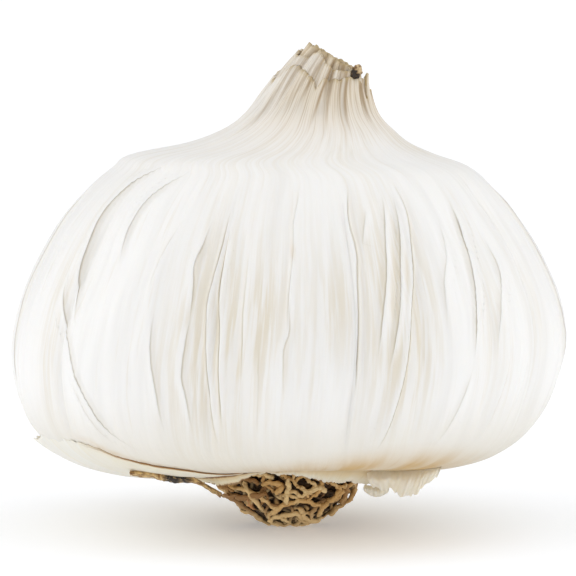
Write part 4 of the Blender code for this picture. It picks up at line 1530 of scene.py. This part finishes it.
def patch(name, size, rows):
    """A sheet through rows of points, smooth both ways, with u along a row and v from row to row."""
    obj, u, v = grid_sheet(name, *size)
    rows = np.array(rows, float)
    down = smooth_through(rows, np.linspace(0.0, len(rows) - 1.0, size[1]))
    both = smooth_through(down.transpose(1, 0, 2), np.linspace(0.0, rows.shape[1] - 1.0, size[0]))
    column, line = np.round(u * (size[0] - 1)).astype(int), np.round(v * (size[1] - 1)).astype(int)
    points = both[column, line]
    store(obj, "out", v)
    return obj, u, v, points


def left_bulge(degrees, v):
    """The large flap stands off below the belly, most at the far left, where its tip is loose."""
    most = 0.50 * smooth_between(-128, -100, degrees) * (1 - smooth_between(-82, -48, degrees))
    tucked = 0.26 * np.exp(-(((degrees + 65.0) / 9.0) ** 4)) * v**6
    loose = hill(degrees, -82.0, 8.0) * v**8
    ripple = 0.10 * v * np.sin(np.radians(degrees) * 34.0 + 3.0 * v)
    return most * np.sin(np.pi * v**2) + 0.8 * loose + ripple * (1 - v) - tucked


left_rag, left_degrees = underside_rag(
    "left_rag", (-122, -19), (300, 70), LEFT_FOOT, LEFT_EDGE, left_bulge, 0.25
)
# On the left flap the stain mask also carries painted shadow: its brown upper edge stands partly for the
# gap at the bulb
store(left_rag, "stain", smooth_between(-54.0, -36.0, left_degrees))
store(left_rag, "gold", 0.25 + 0.5 * smooth_between(-60.0, -40.0, left_degrees))
thicken(left_rag, SHEET)

# %% [markdown]
# ## The frills
# Where the inner leaves tore off, a low band of skin hangs round the root plate, in front and
# behind. Its upper edge meets the bulb, and its lower edge, the hem, is a short list of heights
# read from the bulb. The rows between are straight, with small pleats added.

# %% Hang the frills round the root plate
# Height of the frill's lower edge, by degrees round from the viewer's side
FRONT_HEM = (
    (-64, 6.6), (-58, 6.3), (-50, 6.0), (-36, 6.15), (-25, 6.5), (-19, 7.4), (-10, 7.8), (-1, 7.8),
    (6, 7.4), (13, 7.05), (21, 6.75), (39, 6.3), (49, 6.2), (56, 6.7),
)
BACK_HEM = (
    (118, 6.0), (132, 5.3), (150, 5.7), (168, 5.2), (186, 5.8), (205, 5.3), (222, 5.9), (236, 6.2),
)
FRILL_TOP = 15.4
FRILL_GAP = 0.07
FRILL_FOOT = 13.4
HEM_TEAR = 0.30


def hanging_frill(name, span, size, hem, layer):
    """A low torn band between the bulb's underside and its own hem."""
    obj, u, v = grid_sheet(name, *size)
    degrees = span[0] + (span[1] - span[0]) * u
    angle = round_from_viewer(degrees)
    top = wrapper(angle, step_at_radius(np.full(len(u), FRILL_TOP))) - (0.0, 0.0, FRILL_GAP)
    table = np.linspace(span[0], span[1], size[0])
    uneven = ragged(round_from_viewer(table) * 2.3, layer, HEM_TEAR)
    foot = FRILL_FOOT + 0.35 * np.sin(np.radians(degrees) * 9.0)
    low = np.stack((
        foot * np.cos(angle), foot * FLATTENING * np.sin(angle),
        by_degrees(hem, degrees) + np.interp(degrees, table, uneven),
    ), axis=-1)
    points = top + (low - top) * v[:, None]
    pleats = 0.16 * np.sin(np.radians(degrees) * 31.0 + 2.0 * np.sin(np.radians(degrees) * 7.0))
    points[:, :2] += (np.stack((np.cos(angle), np.sin(angle)), axis=-1) * (pleats * v)[:, None])
    write_points(obj, points)
    store(obj, "out", v)
    store(obj, "edge", np.linalg.norm(low - points, axis=1))
    left = (1 - smooth_between(-24.0, 2.0, degrees)) * (degrees < 60)
    store(obj, "stain", 0.9 * left)
    store(obj, "gold", 0.75 + 0.25 * left)
    # The seam: painted shadow under the bulb along the frill's top, partly its brown edge, mostly on the
    # left
    to_the_left = 1 - 0.85 * smooth_between(-4.0, 8.0, degrees)
    store(obj, "seam", (1 - smooth_between(0.12, 0.40, v)) * to_the_left)
    store_vectors(obj, "leaf_place", np.stack((np.cos(angle), np.sin(angle), v / 50.0), axis=-1))
    thicken(obj, SHEET)
    return obj


front_frill = hanging_frill("front_frill", (-64, 56), (260, 14), FRONT_HEM, 11)
back_frill = hanging_frill("back_frill", (118, 236), (220, 14), BACK_HEM, 12)
print("hems follow", len(FRONT_HEM) + len(BACK_HEM), "heights")

# %% [markdown]
# ## Loose scraps
# Three scraps hang clear of the bulb: a pale flap with a small lobe beside it on the right, and a
# brown rag on the left that is almost black in its middle. Each is a grid laid smoothly through
# a few rows of points, with ripples and a torn lower edge.

# %% Hang the right flap and the brown scrap
# Each scrap as rows of points in millimetres, from its upper edge to its lower one
RIGHT_ROWS = (
    ((9.0, -11.0, 7.9), (11.7, -12.0, 8.1), (14.0, -12.5, 8.3), (16.0, -13.0, 8.8), (17.9, -13.5, 9.2)),
    ((9.2, -12.0, 6.9), (11.4, -13.2, 7.1), (13.7, -13.9, 6.9), (15.5, -14.2, 7.7), (17.4, -14.4, 8.5)),
    ((9.7, -11.0, 5.9), (11.6, -12.5, 5.9), (13.2, -13.5, 4.8), (15.1, -14.0, 6.2), (17.1, -14.2, 7.8)),
)
SCRAP_ROWS = (
    ((-17.9, -17.0, 8.6), (-16.3, -17.0, 8.6), (-14.7, -16.5, 8.4), (-13.8, -16.0, 8.1),
     (-12.6, -15.0, 7.9), (-10.8, -13.8, 7.4), (-9.4, -11.6, 6.3), (-7.7, -8.8, 4.9)),
    ((-17.9, -17.4, 8.4), (-16.3, -17.4, 8.3), (-14.7, -16.9, 8.1), (-13.8, -16.4, 7.8),
     (-12.6, -15.4, 7.5), (-10.8, -14.2, 7.1), (-9.4, -12.0, 6.1), (-7.7, -9.2, 4.7)),
    ((-17.9, -16.4, 8.0), (-16.3, -16.4, 7.8), (-14.8, -15.9, 7.7), (-13.9, -15.4, 7.4),
     (-12.7, -14.4, 7.0), (-10.9, -13.2, 6.8), (-9.4, -11.0, 5.8), (-7.8, -8.2, 4.3)),
)
LOBE_ROWS = (
    ((8.8, -10.0, 6.0), (9.6, -10.0, 5.9), (10.6, -10.0, 5.9), (11.6, -10.0, 5.9)),
    ((8.7, -10.6, 5.8), (9.6, -10.6, 5.4), (10.6, -10.6, 5.4), (11.6, -10.6, 5.6)),
    ((8.8, -10.1, 5.4), (9.6, -10.1, 4.8), (10.6, -10.1, 4.7), (11.6, -10.1, 5.3)),
)


def hung_patch(name, size, rows, layer, tear, thickness):
    """A loose scrap: a patch with fine ripples and a ragged lower edge."""
    obj, u, v, points = patch(name, size, rows)
    table = np.linspace(0.0, 1.0, size[0])
    uneven = np.interp(u, table, ragged(table * 0.7, layer, tear))
    points[:, 2] += uneven * v
    points[:, 1] += 0.12 * v * np.sin(u * 34.0) + 0.05 * np.sin(u * 90.0 + 5.0 * v)
    write_points(obj, points)
    store(obj, "edge", 2.0 * (1 - v))
    store(obj, "stain", np.zeros(len(u)))
    store(obj, "gold", np.full(len(u), 0.5))
    store_vectors(obj, "leaf_place", np.stack((u * 0.6, v * 0.1, np.full(len(u), 0.1 * layer)), axis=-1))
    thicken(obj, thickness)
    return obj


right_rag = hung_patch("right_rag", (150, 40), RIGHT_ROWS, 13, 0.75, 0.10)
brown_rag = hung_patch("brown_rag", (150, 26), SCRAP_ROWS, 14, 0.30, 0.16)
scrap_start, scrap_end = SCRAP_ROWS[0][0][0], SCRAP_ROWS[0][-1][0]
along = (read_points(brown_rag)[:, 0] - scrap_start) / (scrap_end - scrap_start)
# The middle stretch of the scrap, painted almost black
store(brown_rag, "char", smooth_between(0.34, 0.42, along) * (1 - smooth_between(0.60, 0.72, along)))
small_lobe = hung_patch("small_lobe", (50, 20), LOBE_ROWS, 15, 0.10, SHEET)
print("right flap spans", RIGHT_ROWS[0][-1][0] - RIGHT_ROWS[0][0][0], "mm")

# %% [markdown]
# ## The finish of the rags
# Old skin is cream at its outer edge and golden where it joins the root plate. Some edges are
# stained brown, on the left flap partly as painted shadow where it meets the bulb, and the frill
# has a dark seam of painted shadow under the bulb, partly its own brown edge. All the pale rags
# share one recipe, with the amount of gold and the width of the stain as its settings. The brown
# rag has a recipe of its own.

# %% Paint the rags
RAG_CREAM = (0.890, 0.865, 0.795)
RAG_BROWN_AND_SHADOW = (0.300, 0.155, 0.050)
RAG_GOLD = (0.680, 0.470, 0.200)
RAG_DARK_AND_SHADOW = (0.070, 0.040, 0.018)
RAG_YELLOW = (0.860, 0.760, 0.540)
RAG_BLACK = (0.022, 0.014, 0.010)


def rag_finish(name, from_foot, golden, reach):
    """Cream skin that turns golden towards the root plate, with a brown edge where it is stained, on the
    left flap partly painted shadow of the gap under the bulb.
    """
    rag = Finish(name)
    fine, wide = rag.veins(60.0, 8.0), rag.veins(14.0, 5.0)
    colour = rag.blend(rag.between(wide, 0.4, 0.7, 0.0, 0.5), RAG_CREAM, RAG_YELLOW)
    colour = rag.blend(rag.between(fine, 0.55, 0.75, 0.0, 0.35), colour, RAG_YELLOW)
    inner = rag.between(rag.mask("out"), *from_foot)
    colour = rag.blend(rag.times(rag.mask("gold"), 0.7), colour, RAG_YELLOW)
    gold = rag.times(rag.mask("gold"), golden)
    colour = rag.blend(rag.times(inner, gold), colour, RAG_GOLD)
    near = rag.between(rag.mask("edge"), 0.8 * reach, 2.4 * reach, 0.5, 0.0)
    colour = rag.blend(rag.times(near, rag.mask("stain")), colour, RAG_GOLD)
    # The seam: painted shadow under the bulb along the frill's top, partly its own brown edge
    colour = rag.blend(rag.between(rag.mask("seam"), 0.0, 0.5), colour, RAG_BROWN_AND_SHADOW)
    colour = rag.blend(rag.between(rag.mask("seam"), 0.6, 1.0, 0.0, 0.9), colour, RAG_DARK_AND_SHADOW)
    # A brown brim along stained edges: a stain, and on the left flap partly painted shadow of the gap under
    # the bulb
    brim = rag.between(rag.mask("edge"), 0.5 * reach, reach, 1.0, 0.0)
    colour = rag.blend(rag.times(brim, rag.mask("stain")), colour, RAG_BROWN_AND_SHADOW)
    rag.soften(0.35, 0.6)
    return rag.finish(colour, rag.between(wide, 0.3, 0.7, 0.42, 0.60), fine, 0.4, 0.12)


def brown_finish():
    rag = Finish("brown_rag")
    fine, wide = rag.veins(60.0, 40.0), rag.veins(26.0, 20.0)
    colour = rag.blend(rag.between(wide, 0.40, 0.62), RAG_GOLD, RAG_BROWN_AND_SHADOW)
    colour = rag.blend(rag.between(wide, 0.62, 0.70, 0.0, 0.9), colour, RAG_DARK_AND_SHADOW)
    colour = rag.blend(rag.between(fine, 0.50, 0.68, 0.0, 0.8), colour, RAG_DARK_AND_SHADOW)
    charred = rag.times(rag.mask("char"), rag.between(wide, 0.30, 0.50))
    colour = rag.blend(charred, colour, RAG_BLACK)
    return rag.finish(colour, rag.between(wide, 0.3, 0.7, 0.55, 0.8), fine, 0.6, 0.2)


wear(left_rag, rag_finish("pale_rag", (0.35, 0.05), 0.6, 0.45), "skin", "left_flap")
CREAM_RAG = rag_finish("cream_rag", (0.75, 0.25), 0.15, 0.45)
wear(right_rag, CREAM_RAG, "skin", "right_flap")
wear(small_lobe, CREAM_RAG, "skin")
FRILL_FINISH = rag_finish("golden_frill", (0.85, 0.25), 0.80, 0.28)
wear(front_frill, FRILL_FINISH, "skin", "front_collar")
wear(back_frill, FRILL_FINISH, "skin", "back_collar")
wear(brown_rag, brown_finish(), "brown_skin", "left_scrap")

# %% [markdown]
# ## Table and light
# The bulb stands on a plain white table in soft light. The sky is brightest at the sides, and
# dimmer in front, behind and straight above, so the belly is a little darker in its middle than
# at its sides. Two faint soft boxes help from either side.

# %% Lay the table and set the lights
TABLE_SIZE = 24.0
TABLE_GLOW = 0.25
TABLE_SHADES = ((0.79, 0.80, 0.82), (0.81, 0.82, 0.84))


def floor_finish():
    """A light table: pale and matt, and lit a little from below, so that shadows stay soft."""
    table = Finish("white_table")
    grain = table.noise(6.0)
    colour = table.blend(table.between(grain, 0.3, 0.7), *TABLE_SHADES)
    table.shader.inputs["Emission Color"].default_value = (1.0, 1.0, 1.0, 1.0)
    table.shader.inputs["Emission Strength"].default_value = TABLE_GLOW
    return table.finish(colour, table.between(grain, 0.3, 0.7, 0.8, 0.85), grain, 0.02, 0.5)


bpy.ops.object.select_all(action="DESELECT")
bpy.ops.mesh.primitive_plane_add(size=TABLE_SIZE, location=(0.0, 0.0, 0.0))
table = bpy.context.object
table.name = table.data.name = "table"
table.data.materials.append(floor_finish())

SKY_FRONT = 0.67
SKY_AROUND = 1.42
SKY_BEHIND = 0.50
SKY_ABOVE = 0.86
SOFT_BOXES = (
    ("left_box", (-0.60, -0.25, 0.12), (0.4, 0.4), 0.35),
    ("right_box", (0.60, -0.20, 0.12), (0.4, 0.4), 0.25),
)


def soft_box(name, place, size, power):
    """A square lamp that faces the middle of the bulb."""
    direction = Vector((0.0, 0.0, 0.03)) - Vector(place)
    turned = direction.to_track_quat("-Z", "Y").to_euler()
    bpy.ops.object.light_add(type="AREA", location=place, rotation=turned)
    lamp = bpy.context.object
    lamp.name = name
    lamp.data.shape = "RECTANGLE"
    lamp.data.size, lamp.data.size_y = size
    lamp.data.energy = power


for name, place, size, power in SOFT_BOXES:
    soft_box(name, place, size, power)
sky = bpy.data.worlds.new("soft_sky")
bpy.context.scene.world = sky
sky.use_nodes = True
shades = Recipe(sky.node_tree)
background = sky.node_tree.nodes["Background"]
geometry = new_node(sky.node_tree, "ShaderNodeNewGeometry")
direction = new_node(sky.node_tree, "ShaderNodeSeparateXYZ")
sky.node_tree.links.new(geometry.outputs["Incoming"], direction.inputs[0])
in_front = shades.between(direction.outputs["Y"], 0.95, -0.05, SKY_FRONT / SKY_AROUND, 1.0)
behind = shades.between(direction.outputs["Y"], -0.10, -0.90, 1.0, SKY_BEHIND / SKY_AROUND)
above = shades.between(direction.outputs["Z"], -0.50, -1.00, SKY_AROUND, SKY_AROUND * SKY_ABOVE)
strength = shades.times(shades.times(in_front, behind), above)
background.inputs["Color"].default_value = (1.0, 1.0, 1.0, 1.0)
sky.node_tree.links.new(strength, background.inputs["Strength"])
bpy.context.scene.view_settings.view_transform = "Standard"
print(len(SOFT_BOXES), "soft boxes and a sky from", SKY_FRONT, "in front to", SKY_AROUND, "all round")

# %% [markdown]
